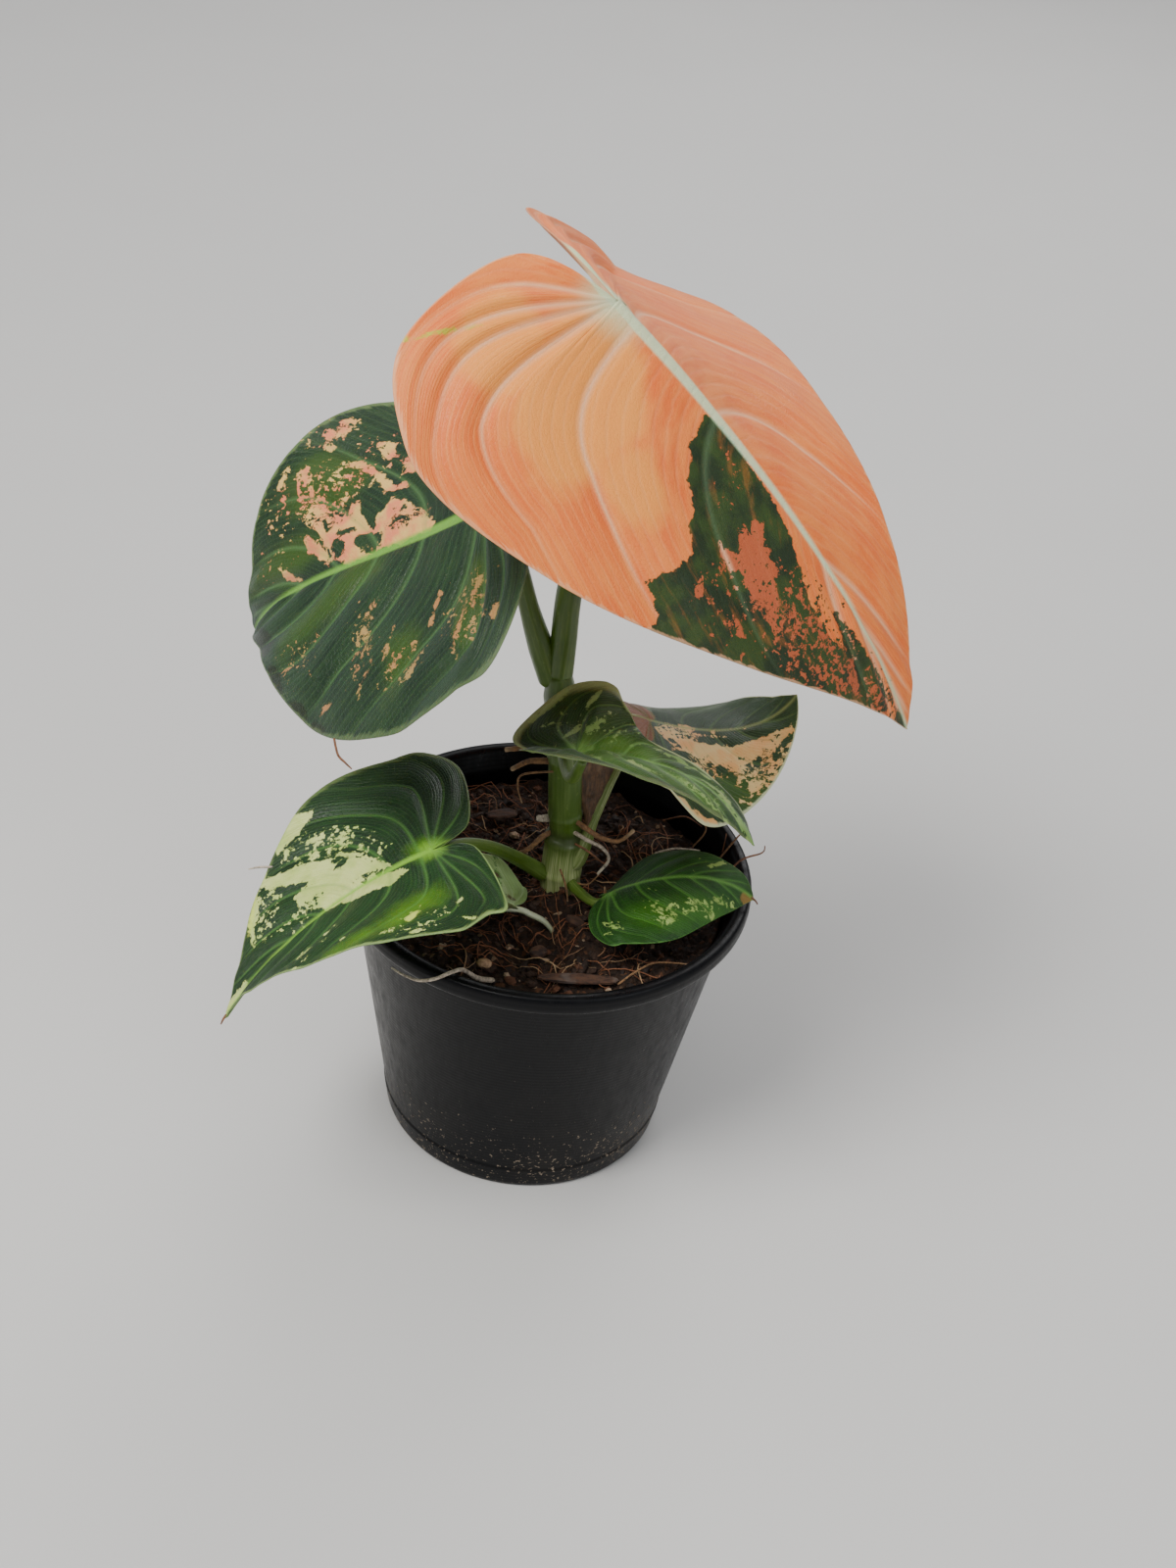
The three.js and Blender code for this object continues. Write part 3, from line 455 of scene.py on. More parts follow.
# junction is where the stalk meets the blade. heading, dip and roll turn the blade there, in
# degrees, and length runs from the junction to the tip. bend and end curve the midrib down along it,
# back curves the lobes, sweep bends the midrib sideways and twist turns its tip. Each side has its
# half width, its fold and curl at the junction and at the tip and its lobe's length. front, heel and
# gap are the outline's widths at FRONT_PLACES or at places of its own, at the lobe's end and at its
# inner edge, as shares of the half width. veins are the roots of the main veins: where each would
# end on the margin without its drift, as a share of the way from the tip to the junction. relief is
# a share of the settings' relief, and pleat the height of the pleats round a crumpled foot.
LEAVES = {
    "top": dict(
        junction=(2.1, 0.4, 241.9), heading=-11.5, dip=39.5, roll=22.7, length=132, twist=6, sweep=-1,
        bend=17.5, end=14, back=58,
        left=dict(width=67, fold=(47.5, -6.5), curl=(-7, 15.5), lobe=32,
                  front=(0.16, 0.54, 0.99), heel=0.59, gap=0.11),
        right=dict(width=65, fold=(2.5, -2), curl=(14.5, 17.5), lobe=29,
                   front=(0.16, 0.54, 0.86), heel=0.67, gap=0.16),
        veins=(0.07, 0.13, 0.2, 0.38, 0.51, 0.63, 0.725, 0.775, 0.83), relief=1.35, slot="leaf_orange"),
    "left": dict(
        junction=(-23.4, -4, 189.1), heading=158.5, dip=42, roll=-33, length=95, twist=-12.5, sweep=5.3,
        bend=-19, end=54, back=-10,
        left=dict(width=52.5, fold=(-1.5, -21), curl=(0, 48), lobe=17.5,
                  front=(0.2, 0.8, 1.01), heel=0.54, gap=0.21),
        right=dict(width=52.5, fold=(14, -25), curl=(46.5, -18), lobe=17.5,
                   front=(0.2, 0.8, 1.01), heel=0.54, gap=0.21),
        veins=(0.1, 0.165, 0.24, 0.32, 0.41, 0.53, 0.64, 0.73, 0.82), relief=1.5, slot="leaf_dark_green"),
    "low_left": dict(
        junction=(-27.5, -33.1, 108.1), heading=201.7, dip=21.5, roll=22, length=66, twist=-3.5,
        sweep=-4, bend=29, end=5, back=43,
        left=dict(width=35, fold=(22.5, -15.5), curl=(-13, 2), lobe=13,
                  front=(0.15, 0.61, 0.84), heel=0.86, gap=0.13),
        right=dict(width=36.5, fold=(-23, -22), curl=(-3.5, -18), lobe=13,
                   front=(0.15, 0.61, 1.01), heel=0.66, gap=0.13),
        veins=(0.12, 0.19, 0.26, 0.34, 0.43, 0.51, 0.61, 0.74, 0.83), relief=0.8, slot="leaf_cream_green"),
    "twisted": dict(
        junction=(4.8, -27.1, 138.1), heading=-23.5, dip=-21.5, roll=-10, length=55, twist=-22,
        sweep=7.5, bend=20, end=46.5, back=4,
        left=dict(width=22, fold=(-21.5, 13), curl=(-23.5, -2), lobe=20,
                  front=(0.35, 0.38, 0.78), places=(0.87, 0.32, 0.11), heel=0.38, gap=0.08),
        right=dict(width=19.5, fold=(-21.5, 22.5), curl=(4, 1.5), lobe=7.5,
                   front=(0.27, 0.61, 0.85), heel=0.59, gap=0.2),
        veins=(0.13, 0.22, 0.31, 0.4, 0.5, 0.6, 0.7, 0.8), relief=0.65, pleat=0.75, slot="leaf_mid_green"),
    "right": dict(
        junction=(22.5, 18.3, 119.2), heading=10.5, dip=16.5, roll=-12, length=44.5, twist=14,
        sweep=-8.8, bend=-18.5, end=-48, back=15,
        left=dict(width=31.5, fold=(-2, -3.5), curl=(44, 48), lobe=10,
                  front=(0.23, 0.71, 1), heel=0.7, gap=0.04),
        right=dict(width=32.5, fold=(7.5, 36.5), curl=(3.5, 21), lobe=7,
                   front=(0.23, 0.68, 1.02), heel=0.68, gap=0.05),
        veins=(0.13, 0.22, 0.31, 0.41, 0.52, 0.63, 0.74), relief=0.5, slot="leaf_peach_green"),
    "low_right": dict(
        junction=(17, -12.5, 84.8), heading=15, dip=-25.5, roll=-14, length=40.5, twist=26.5,
        sweep=1.7, bend=37, end=32, back=18.5,
        left=dict(width=15.5, fold=(31, -20), curl=(-13, 5.5), lobe=3,
                  front=(0.31, 0.65, 0.96), heel=0.58, gap=0.23),
        right=dict(width=22, fold=(0, 25), curl=(18.5, 22), lobe=6.8,
                   front=(0.31, 0.65, 0.93), heel=0.61, gap=0.23),
        veins=(0.14, 0.23, 0.32, 0.42, 0.53, 0.64, 0.76), relief=0.55, slot="leaf_mid_green"),
    "small": dict(
        junction=(-7.7, -20.2, 82.6), heading=167, dip=-12.5, roll=18, length=27, twist=-26.5,
        sweep=0.3, bend=-4, end=10, back=2,
        left=dict(width=14.8, fold=(-25, 8), curl=(-3.5, 15), lobe=2.7,
                  front=(0.22, 0.57, 1), heel=0.55, gap=0.26),
        right=dict(width=15.8, fold=(-1.5, -25), curl=(4.5, -13.5), lobe=2.7,
                   front=(0.22, 0.57, 1), heel=0.55, gap=0.26),
        veins=(0.16, 0.28, 0.4, 0.54, 0.7), relief=0.3, slot="leaf_pale"),
}

# Where the pattern of each leaf lies, in its flat millimetres: u along the midrib from the junction
# and v to its right. A patch is an outline, and a spot is u, v, half length, half width and turn.
# patch and spots are the leaf's second colour, island puts the first colour back, bright is its
# third colour, mark its fourth, and freckles are spots of fine speckle with their strength.
PATTERNS = {
    "top": dict(
        patch=[[(31.5, 1), (33, 6.5), (33, 10.5), (37, 15), (40, 19), (44.5, 21.5),
                (46.5, 25), (50.5, 28.5), (51, 32.5), (49.5, 37), (48, 41.5), (52.5, 43),
                (55.5, 45), (58, 52), (66, 62), (96, 44), (116, 22), (124, 9), (119, 3), (112, 2),
                (104, 3.5), (96, 4.5), (90, 4), (88.5, 6.5), (95, 7), (98, 8.5), (92, 11),
                (86, 11), (80, 10), (74.5, 8), (69, 5.5), (62.5, 3.5), (54, 2), (43.5, 1)]],
        spots=[(129, 2.5, 5, 2.2, 0)],
        island=[(67, 17.5, 10.5, 4.4, 22), (59.5, 12.5, 3.2, 2.2, 40), (88, 11, 4, 2.2, 30),
                (60, 21.5, 3.4, 2.2, 0), (77.5, 21, 4.2, 2.4, 10), (83, 17, 5, 1.6, 10),
                (105, 10, 5, 2, 10), (114, 6, 3.5, 1.6, 0), (58, 33, 3, 1.2, 60), (73, 31, 3.5, 1.4, 35)],
        freckles=[(90, 16, 30, 17, 0, 1.0), (66, 26, 15, 18, 0, 0.62), (116, 5, 14, 8, 0, 1.0),
                  (46, 9, 9, 8, 0, 0.4)],
        bright=[(8, 24, 24, 15, 70), (-12, 30, 12, 12, 0), (30, 30, 10, 8, 0)],
        mark=[(-28.9, 44.4, 2.2, 0.8, -60), (-24, 38, 7.5, 0.6, -55)]),
    "left": dict(
        patch=[[(57, 20.5), (53, 19.5), (50.5, 15.5), (46.5, 14.5), (45, 18), (42.5, 16),
                (41, 13), (40.5, 10.5), (37.5, 8), (36.5, 11), (34, 12), (33, 15.5),
                (29.5, 14), (24.5, 10.5), (20, 5.5), (17, 2), (20, 0.5), (35.5, 0.5),
                (45.5, 0.5), (48.5, 1.5), (52, 5), (55, 10.5), (57, 15), (59, 18)],
               [(60, 30.5), (57, 31.5), (56, 26.5), (55.5, 23), (58.5, 22.5), (61.5, 22.5)],
               [(60, 12), (57.5, 11), (54, 7), (51, 3.5), (52.5, 2), (56.5, 6), (60, 8)],
               [(47, 31), (43, 30.5), (40, 27.5), (38, 26), (35, 22.5), (32, 18.5), (35, 17),
                (38, 22), (41, 25), (44.5, 27.5), (47, 28.5)],
               [(41, 35), (35, 34.5), (35, 30.5), (37, 28.5), (39.5, 32)],
               [(32.5, 29), (29.5, 27.5), (25.5, 21.5), (27.5, 22.5), (31.5, 24)],
               [(69.5, 7), (63, 2), (65, 1), (70, 4.5)]],
        spots=[(52.6, 40, 2, 1.6, 60), (49.3, 40, 1.7, 1.5, 0), (52.8, 36.2, 3.2, 0.9, 20),
               (31, 20, 1.9, 1.5, 0), (47.6, 43, 2.4, 0.9, 0), (64.2, 29.4, 3, 1.2, -60),
               (35.6, -23, 2.6, 1.3, -80), (18.4, -40.2, 2.3, 1.6, -60), (34.3, -18.2, 2.2, 0.9, -50),
               (36, -29.5, 4, 0.55, -70), (34.6, -37, 3.4, 0.55, -60), (49.2, -40, 2.4, 0.9, -30),
               (18.1, -32.3, 1.3, 0.7, 0), (1.8, -34, 5, 0.8, -80), (-1.9, -25, 4, 0.8, -80),
               (-8.7, -35, 2, 0.8, -80), (12, -26, 3, 0.5, -70), (27, -32, 3.4, 0.5, -70)],
        island=[(38.5, 4.3, 4.6, 2.5, 40), (49, 5.3, 2.4, 1.9, 20), (29, 7.4, 5, 1.2, 10),
                (52, 13, 2.4, 0.9, 60), (46, 9.6, 1.6, 0.9, 0)],
        freckles=[(52, 22, 16, 14, 0, 1.0), (28, 8, 11, 6, 0, 0.8), (36, 30, 22, 11, 0, 0.62),
                  (52, 40, 12, 5, 0, 0.75), (66, 22, 8, 14, 0, 0.72), (72, 9, 12, 7, 0, 0.5),
                  (22, -36, 12, 9, 0, 0.8), (0, -30, 12, 14, 0, 0.82), (36, -26, 7, 16, 0, 0.8),
                  (60, -24, 12, 10, 0, 0.7)],
        bright=[(50, -10, 14, 5, -30), (66, 8, 14, 5, -8), (22, -36, 8, 5, -70), (0, -28, 5, 12, 0),
                (52, 24, 12, 8, 0)],
        mark=[(79, -11, 9, 3.4, 40), (70.5, -26, 6.5, 3.4, 55), (61.5, -37.5, 5, 3, 40),
              (53.5, -44, 3.6, 2.2, 30)]),
    "low_left": dict(
        patch=[[(41, 18.5), (38, 22), (34.5, 19.5), (31, 18.5), (27, 16), (22.5, 13.5), (21, 14.5),
                (17.5, 12.5), (14, 7.5), (11.5, 2.5), (7.5, -4), (10.5, -5.5), (16, -5.5),
                (20.5, -5), (25, -3), (29, -1), (32.5, 3), (36, 7.5), (35, 10), (33.5, 12),
                (34, 14), (37.5, 16.5)],
               [(33.5, 31), (29.5, 33), (26, 33.5), (22, 31), (24.5, 28.5), (27, 27.5), (30, 27),
                (31.5, 26.5), (34, 25)]],
        spots=[(45, 15.4, 8, 1.1, -52), (62, 0.5, 6, 1.3, 0), (10.4, -23.7, 1.6, 1.1, 0),
               (28.1, -19.2, 1.1, 0.8, 0), (37.8, -15, 3, 0.8, -30), (-2.1, -22.2, 0.9, 0.7, 0),
               (-2.5, -31.1, 1.6, 0.7, 40), (10, -30, 2, 0.8, 0), (41, -20, 2.4, 0.5, -30),
               (18, -26, 1.4, 0.7, 0)],
        island=[(21.6, 11.6, 2.2, 1.9, 0), (33.5, 12.5, 2.2, 1.1, 40), (12.4, 0.6, 4, 0.7, 15)],
        freckles=[(24, 20, 15, 6.5, 20, 1.15), (14, 10, 8, 6, 40, 0.9), (35, 4, 9, 6, 0, 0.85),
                  (43, 12, 10, 5, -50, 1.0), (36, -14, 10, 4, -20, 0.75), (8, -26, 12, 7, 0, 0.65),
                  (42, -16, 9, 4, -20, 0.7)],
        bright=[(12.5, -21, 9, 3.2, -18), (22, -23, 6, 1.8, -10), (2, 2, 4, 3, 0)],
        mark=[(10.4, -23.7, 2.2, 1.3, -40), (45, 16.8, 10, 0.7, -52)]),
    "twisted": dict(
        spots=[(-14, -15, 6.5, 1.3, -52), (2, -10, 4.5, 0.8, -60), (28, -5.5, 9, 0.8, 5),
               (41, -1.6, 8, 0.9, 8), (49, 1, 6, 1.2, 0), (12, 9.5, 5, 0.6, 40), (36, 5, 9, 0.6, 4),
               (20, 6.2, 7, 0.5, 14), (-4, -8, 4, 0.7, -60), (-2, -16.6, 3, 0.7, -60)],
        freckles=[(6, -8, 14, 7, 0, 0.7), (34, 4, 16, 5, 0, 0.75), (-10, -12, 8, 7, 0, 0.6),
                  (16, 10, 10, 6, 0, 0.5), (46, 2, 8, 4, 0, 0.7)],
        bright=[(10, 0, 12, 6, 0), (26, 5, 12, 3.4, 0), (14, 8, 10, 4, 20)]),
    "right": dict(
        patch=[[(0.5, 3.5), (1.5, 2), (7, 2), (11, 2.5), (12.5, 5), (17.5, 5.5), (23, 5),
                (27.5, 5), (33, 4.5), (38.5, 5), (39, 6.5), (36, 7.5), (34, 9), (31, 10.5),
                (28.5, 12.5), (24.5, 14.5), (20.5, 13.5), (18, 12.5), (14, 14), (12, 12.5),
                (10, 10.5), (7, 11), (3, 7.5)],
               [(1, 32.5), (5.5, 30), (9, 31), (12, 31), (16, 30), (17, 34), (8, 37), (0, 36)]],
        spots=[(9, -20, 5, 0.7, -40), (9.6, 0.6, 3.4, 1.4, 0), (5, 1.4, 3, 1.2, 0),
               (36.5, 9.5, 2.4, 1, -50), (29, 14, 2.2, 0.9, -50)],
        island=[(31, 8.6, 1.2, 0.8, 30), (20, 12.4, 1.8, 0.8, 0), (6, 8, 1.8, 0.8, 30)],
        freckles=[(28, 15, 10, 9, -40, 1.25), (12, 14, 10, 6, 0, 1.15), (26, 21, 8, 6, 0, 0.7),
                  (34, 9, 7, 5, 0, 1.0), (8, 3, 10, 4, 0, 1.1), (20, 1, 8, 3, 0, 0.7),
                  (10, 24, 8, 6, 0, 0.5)],
        bright=[(14, -18, 12, 6, 0), (22, 20, 8, 5, 0)],
        # The right leaf's mark is painted backlight: the orange-brown its curled-back lobe shows with light
        # shining through it from behind, on the lobe's own brown.
        mark=[(-5, -6, 7.5, 10, 0), (-2.5, 5, 2.6, 7, 0)]),
    "low_right": dict(
        spots=[(28.5, -5, 3, 0.5, -30), (12.3, 10.5, 1.4, 0.8, 40), (14.3, 14.2, 1.8, 0.9, -30),
               (24.8, 9.6, 2, 0.9, 10), (30.2, 5.8, 1.2, 0.6, 0), (-1, 15.4, 2.2, 0.6, 50),
               (19.3, 11.4, 1.2, 0.7, 0)],
        freckles=[(14, 11, 9, 5, 0, 1.05), (25, 9, 8, 4, 0, 1.1), (33, 6, 6, 4, 0, 0.7),
                  (-1, 15, 7, 4, 0, 0.8), (26, -6, 6, 3, 0, 0.6), (8, 3, 8, 3, 0, 0.5)],
        bright=[(12, 12, 9, 5, 0), (24, 9, 9, 4, 0)], mark=[(39, 1.6, 2.6, 2, 0)]),
    "small": dict(
        spots=[(8, -2, 9, 2.0, 0), (16, 5, 6, 1.2, 20), (8, 11.4, 5, 1, 60)],
        freckles=[(10, 3, 14, 9, 0, 0.8)],
        bright=[(10, 3, 10, 6, 0)], mark=[(0.9, 4.7, 1.5, 1, 0), (7.1, 9.4, 1, 0.7, 0)]),
}

# Colours: first is the leaf's ground and deep its shaded ground, second the patches and blush a tint
# of them, third the bright places and mark the marks. inner and patch_vein are the ground and the
# veins inside the patches, and shy tints the patches of the left half. vein and midrib are the
# veins, edge the pale margin and under the underside's tint. midrib_width is the midrib's half width
# at its foot and tip, foot the reach of the pale star round its foot, and vein_width the half width
# of a vein at the midrib, all in millimetres, and vein_share is the veins' strength. rim tells where
# the pale margin starts and is full, as shares of the way out, and its strength on the left and the
# right half. rough is the skin's roughness and sheen the weight and the tint of its velvet.
COLOURS = {
    "top": dict(
        first=(0.93, 0.25, 0.045), deep=(0.84, 0.155, 0.022), second=(0.011, 0.026, 0.005),
        blush=(0.026, 0.055, 0.007), third=(0.95, 0.35, 0.055), mark=(0.5, 0.5, 0.03),
        inner=(0.42, 0.085, 0.03), patch_vein=(0.1, 0.17, 0.08), vein=(0.93, 0.5, 0.28),
        midrib=(0.62, 0.8, 0.5), under=(0.6, 0.24, 0.12), midrib_width=(2.9, 0.35), foot=13,
        vein_width=1.9, vein_share=0.85, rough=0.5),
    "left": dict(
        first=(0.014, 0.045, 0.012), deep=(0.006, 0.022, 0.008), second=(0.78, 0.5, 0.15),
        blush=(0.84, 0.25, 0.12), third=(0.035, 0.085, 0.006), mark=(0.008, 0.015, 0.003),
        shy=(0.3, 0.19, 0.06), vein=(0.1, 0.22, 0.07), midrib=(0.2, 0.46, 0.06),
        under=(0.07, 0.11, 0.04), midrib_width=(1.9, 0.5), foot=6, vein_width=1.4, vein_share=0.6,
        edge=(0.2, 0.32, 0.12), rim=(0.965, 0.99, 0.3, 0.5), rough=0.44,
        sheen=(0.16, (0.75, 0.9, 1.0))),
    "low_left": dict(
        first=(0.011, 0.05, 0.008), deep=(0.005, 0.022, 0.005), second=(0.62, 0.7, 0.24),
        blush=(0.5, 0.62, 0.16), third=(0.1, 0.26, 0.004), mark=(0.62, 0.72, 0.12),
        vein=(0.1, 0.26, 0.05), midrib=(0.26, 0.54, 0.05), under=(0.08, 0.15, 0.05),
        midrib_width=(0.9, 0.25), foot=5, vein_width=1.0, vein_share=0.6,
        edge=(0.34, 0.5, 0.16), rim=(0.955, 0.99, 0.65, 0.28), rough=0.42),
    "twisted": dict(
        first=(0.017, 0.058, 0.006), deep=(0.006, 0.022, 0.003), second=(0.25, 0.34, 0.12),
        blush=(0.14, 0.25, 0.06), third=(0.05, 0.14, 0.007), mark=(0.3, 0.4, 0.1),
        vein=(0.16, 0.32, 0.09), midrib=(0.18, 0.36, 0.08), under=(0.2, 0.28, 0.09),
        midrib_width=(0.8, 0.3), foot=5, vein_width=0.9, vein_share=0.6,
        edge=(0.52, 0.6, 0.28), rim=(0.86, 0.97, 0.6, 0.12)),
    "right": dict(
        first=(0.013, 0.05, 0.006), deep=(0.006, 0.026, 0.004), second=(0.8, 0.57, 0.24),
        # The right leaf's mark colour is painted backlight over its lobe's own brown: the glow of light
        # through the curled-back lobe.
        blush=(0.82, 0.42, 0.14), third=(0.03, 0.09, 0.006), mark=(0.22, 0.055, 0.0),
        vein=(0.15, 0.28, 0.07), midrib=(0.3, 0.36, 0.1), under=(0.36, 0.13, 0.03),
        midrib_width=(0.45, 0.2), foot=0.5, vein_width=0.8, vein_share=0.4,
        edge=(0.66, 0.72, 0.42), rim=(0.95, 0.985, 0.9, 0.9)),
    "low_right": dict(
        first=(0.015, 0.078, 0.006), deep=(0.006, 0.034, 0.004), second=(0.42, 0.56, 0.16),
        blush=(0.3, 0.44, 0.1), third=(0.035, 0.14, 0.005), mark=(0.26, 0.15, 0.03),
        vein=(0.1, 0.28, 0.04), midrib=(0.15, 0.38, 0.06), under=(0.1, 0.18, 0.05),
        midrib_width=(0.7, 0.3), foot=4, vein_width=0.9, vein_share=0.6),
    "small": dict(
        first=(0.34, 0.48, 0.18), deep=(0.2, 0.33, 0.09), second=(0.06, 0.17, 0.02),
        blush=(0.12, 0.26, 0.05), third=(0.5, 0.6, 0.34), mark=(0.08, 0.022, 0.008),
        vein=(0.5, 0.62, 0.36), midrib=(0.52, 0.62, 0.4), under=(0.32, 0.43, 0.2),
        midrib_width=(0.6, 0.3), foot=2, vein_width=0.6, vein_share=0.5),
}


def half_outline(leaf, side, along):
    """Half of a flat leaf's margin, from the tip at 0 round its lobe to the junction at 1."""
    length, width, lobe = leaf["length"], side["width"], side["lobe"]
    places = side.get("places", FRONT_PLACES)
    knots = [(length, 0)] + [(x * length, share * width) for x, share in zip(places, side["front"])]
    knots += [(WIDEST_PLACE * length, width), (-LOBE_MIDDLE * lobe, LOBE_MIDDLE_WIDTH * width)]
    knots += [(-lobe, side["heel"] * width), (-LOBE_INNER * lobe, side["gap"] * width), (0, 0)]
    return smooth_line(knots, along)


def flat_blade(leaf, across, along):
    """The flat place u, v for across from -1, the left margin, over 0, the midrib, to 1, and along
    from the tip to the junction. A line at one value of along runs straight from its start on the
    midrib to the margin, plus an arch towards the tip of 0.25 (1 - along) s (1 - s) times its span."""
    edge = np.where((across < 0)[..., None], half_outline(leaf, leaf["left"], along),
                    half_outline(leaf, leaf["right"], along))
    s = np.abs(across)
    start = leaf["length"] * np.clip(1 - along / MIDRIB_SHARE, 0, 1) ** VEIN_START_POWER
    dx, dy = edge[..., 0] - start, edge[..., 1]
    arch = VEIN_ARCH * (1 - along) * s * (1 - s)
    return start + s * dx + arch * dy, np.sign(across) * (s * dy - arch * dx)


def turned(a, b, angle):
    """a turned by an angle towards b, square to it: a cos(angle) + b sin(angle)."""
    return a * np.cos(angle)[..., None] + b * np.sin(angle)[..., None]


def lift_blade(leaf, u, v):
    """Flat places lifted onto the bent blade, and the midrib's normal there. The midrib turns down
    by bend q + end q^3 degrees at the share q of its length, summed in eight steps, and each half
    leaves it at its fold and rolls by its curl, so a place v out lies at v sinc(turn / 2) along the
    fold plus half that turn."""
    heading, dip, roll = np.radians([leaf["heading"], leaf["dip"], leaf["roll"]])
    forward = np.array([np.cos(dip) * np.cos(heading), np.cos(dip) * np.sin(heading), -np.sin(dip)])
    level = np.array([np.sin(heading), -np.cos(heading), 0.0])
    raised = np.cross(level, forward)
    right = level * np.cos(roll) - raised * np.sin(roll)
    up = raised * np.cos(roll) + level * np.sin(roll)
    q = u / leaf["length"]

    def bend(x):
        """The turn at the share x: bend x + end x^3 towards the tip, back x in the lobes."""
        return np.radians(np.where(x >= 0, leaf["bend"] * x + leaf["end"] * x**3, leaf["back"] * x))

    steps = (np.arange(BEND_STEPS) + 0.5) / BEND_STEPS
    turns = bend(q[..., None] * steps)
    ahead, down = u * np.cos(turns).mean(-1), u * np.sin(turns).mean(-1)
    untwisted = turned(up, forward, bend(q))
    twist = np.radians(leaf["twist"] * np.maximum(q, 0))
    normal = turned(untwisted, right, twist)
    right_here = turned(right, untwisted, -twist)
    share = np.clip(q, 0, 1)

    def pick(key):
        """A half's angle of that name, carried evenly from the junction's to the tip's."""
        (l0, l1), (r0, r1) = leaf["left"][key], leaf["right"][key]
        return np.radians(np.where(v < 0, l0 + (l1 - l0) * share, r0 + (r1 - r0) * share))

    width = np.where(v < 0, leaf["left"]["width"], leaf["right"]["width"])
    reach = np.abs(v)
    half_turn = pick("curl") * reach / width / 2
    slope = pick("fold") + half_turn
    span = reach * np.sinc(half_turn / np.pi)
    centre = np.array(leaf["junction"]) + ahead[..., None] * forward - down[..., None] * up
    centre = centre + (leaf["sweep"] * q * q)[..., None] * right
    out = (np.sign(v) * span * np.cos(slope))[..., None] * right_here
    return centre + out - (span * np.sin(slope))[..., None] * normal, normal


def depth_in_outline(u, v, outline):
    """How far inside a closed outline each place lies, negative outside: the least distance to its
    sides, with its sign from the number of sides that a line towards +u crosses."""
    a = np.asarray(outline, float)
    b = np.roll(a, -1, axis=0)
    p = np.stack([u, v], -1)[..., None, :]
    d = b - a
    t = np.clip(((p - a) * d).sum(-1) / (d * d).sum(-1), 0, 1)
    distance = np.linalg.norm(p - a - t[..., None] * d, axis=-1).min(-1)
    rises = (a[:, 1] > v[..., None]) != (b[:, 1] > v[..., None])
    with np.errstate(divide="ignore", invalid="ignore"):
        cross = a[:, 0] + (v[..., None] - a[:, 1]) / d[:, 1] * d[:, 0]
    inside = (rises & (u[..., None] < cross)).sum(-1) % 2 == 1
    return np.where(inside, distance, -distance)


def spot_distance(u, v, spot):
    """How far each place lies from a spot's middle, as a share of the spot's reach that way:
    hypot(a / half length, b / half width) of its parts a along and b across the turned spot."""
    x, y, length, width, turn = spot
    c, s = math.cos(math.radians(turn)), math.sin(math.radians(turn))
    du, dv = u - x, v - y
    return np.hypot((du * c + dv * s) / length, (dv * c - du * s) / width)


def depth_in_spots(u, v, spots):
    """How far inside the deepest of some spots each place lies, in about millimetres: one less
    spot_distance, times the spot's half width."""
    depth = np.full(u.shape, FAR_OUTSIDE)
    for spot in spots:
        depth = np.maximum(depth, (1 - spot_distance(u, v, spot)) * spot[3])
    return depth


def pattern_fields(name, u, v):
    """The leaf's pattern as depths in millimetres, and the strength of its freckles, which falls
    off smoothly across the edge of each of their spots."""
    pattern = PATTERNS[name]
    fields = {key: depth_in_spots(u, v, pattern.get(group, ())) for key, group in (
        ("patch", "spots"), ("island", "island"), ("bright", "bright"), ("mark", "mark"))}
    for outline in pattern.get("patch", ()):
        fields["patch"] = np.maximum(fields["patch"], depth_in_outline(u, v, outline))
    fields["freckles"] = np.zeros(u.shape)
    for *spot, strength in pattern["freckles"]:
        share = strength * step_up(1.15, 0.35, spot_distance(u, v, spot))
        fields["freckles"] = np.maximum(fields["freckles"], share)
    return fields


def vein_phase(leaf, s, along, middle):
    """A count that is whole on each primary vein, and the millimetres that one count takes there. A
    vein keeps the root a + drift(a) s^power(a), and the count runs evenly between the leaf's roots.
    Its steepness g solves g.g = (G p^2 - 2 F p q + E q^2) / (E G - F^2) for its steps p and q over
    the grid, whose edges have the squares E and G and the product F."""
    root = along + np.interp(along, *DRIFT) * s ** np.interp(along, *DRIFT_POWER)
    knots = (0, *leaf["veins"], 1)
    phase = np.interp(root, knots, np.arange(len(knots)))
    over, on = np.gradient(middle, axis=0), np.gradient(middle, axis=1)
    e, f, g = (over * over).sum(-1), (over * on).sum(-1), (on * on).sum(-1)
    p, q = np.gradient(phase, axis=0), np.gradient(phase, axis=1)
    steep = (g * p * p - 2 * f * p * q + e * q * q) / np.maximum(e * g - f * f, 1e-9)
    return phase, 1 / np.sqrt(np.clip(steep, 1e-4, 1e6))


def leaf_size(leaf):
    """A leaf's size beside the largest, for its relief and thickness: the root of its length's
    share of the largest length."""
    return max(LEAST_SIZE, math.sqrt(leaf["length"] / LARGEST_LENGTH))


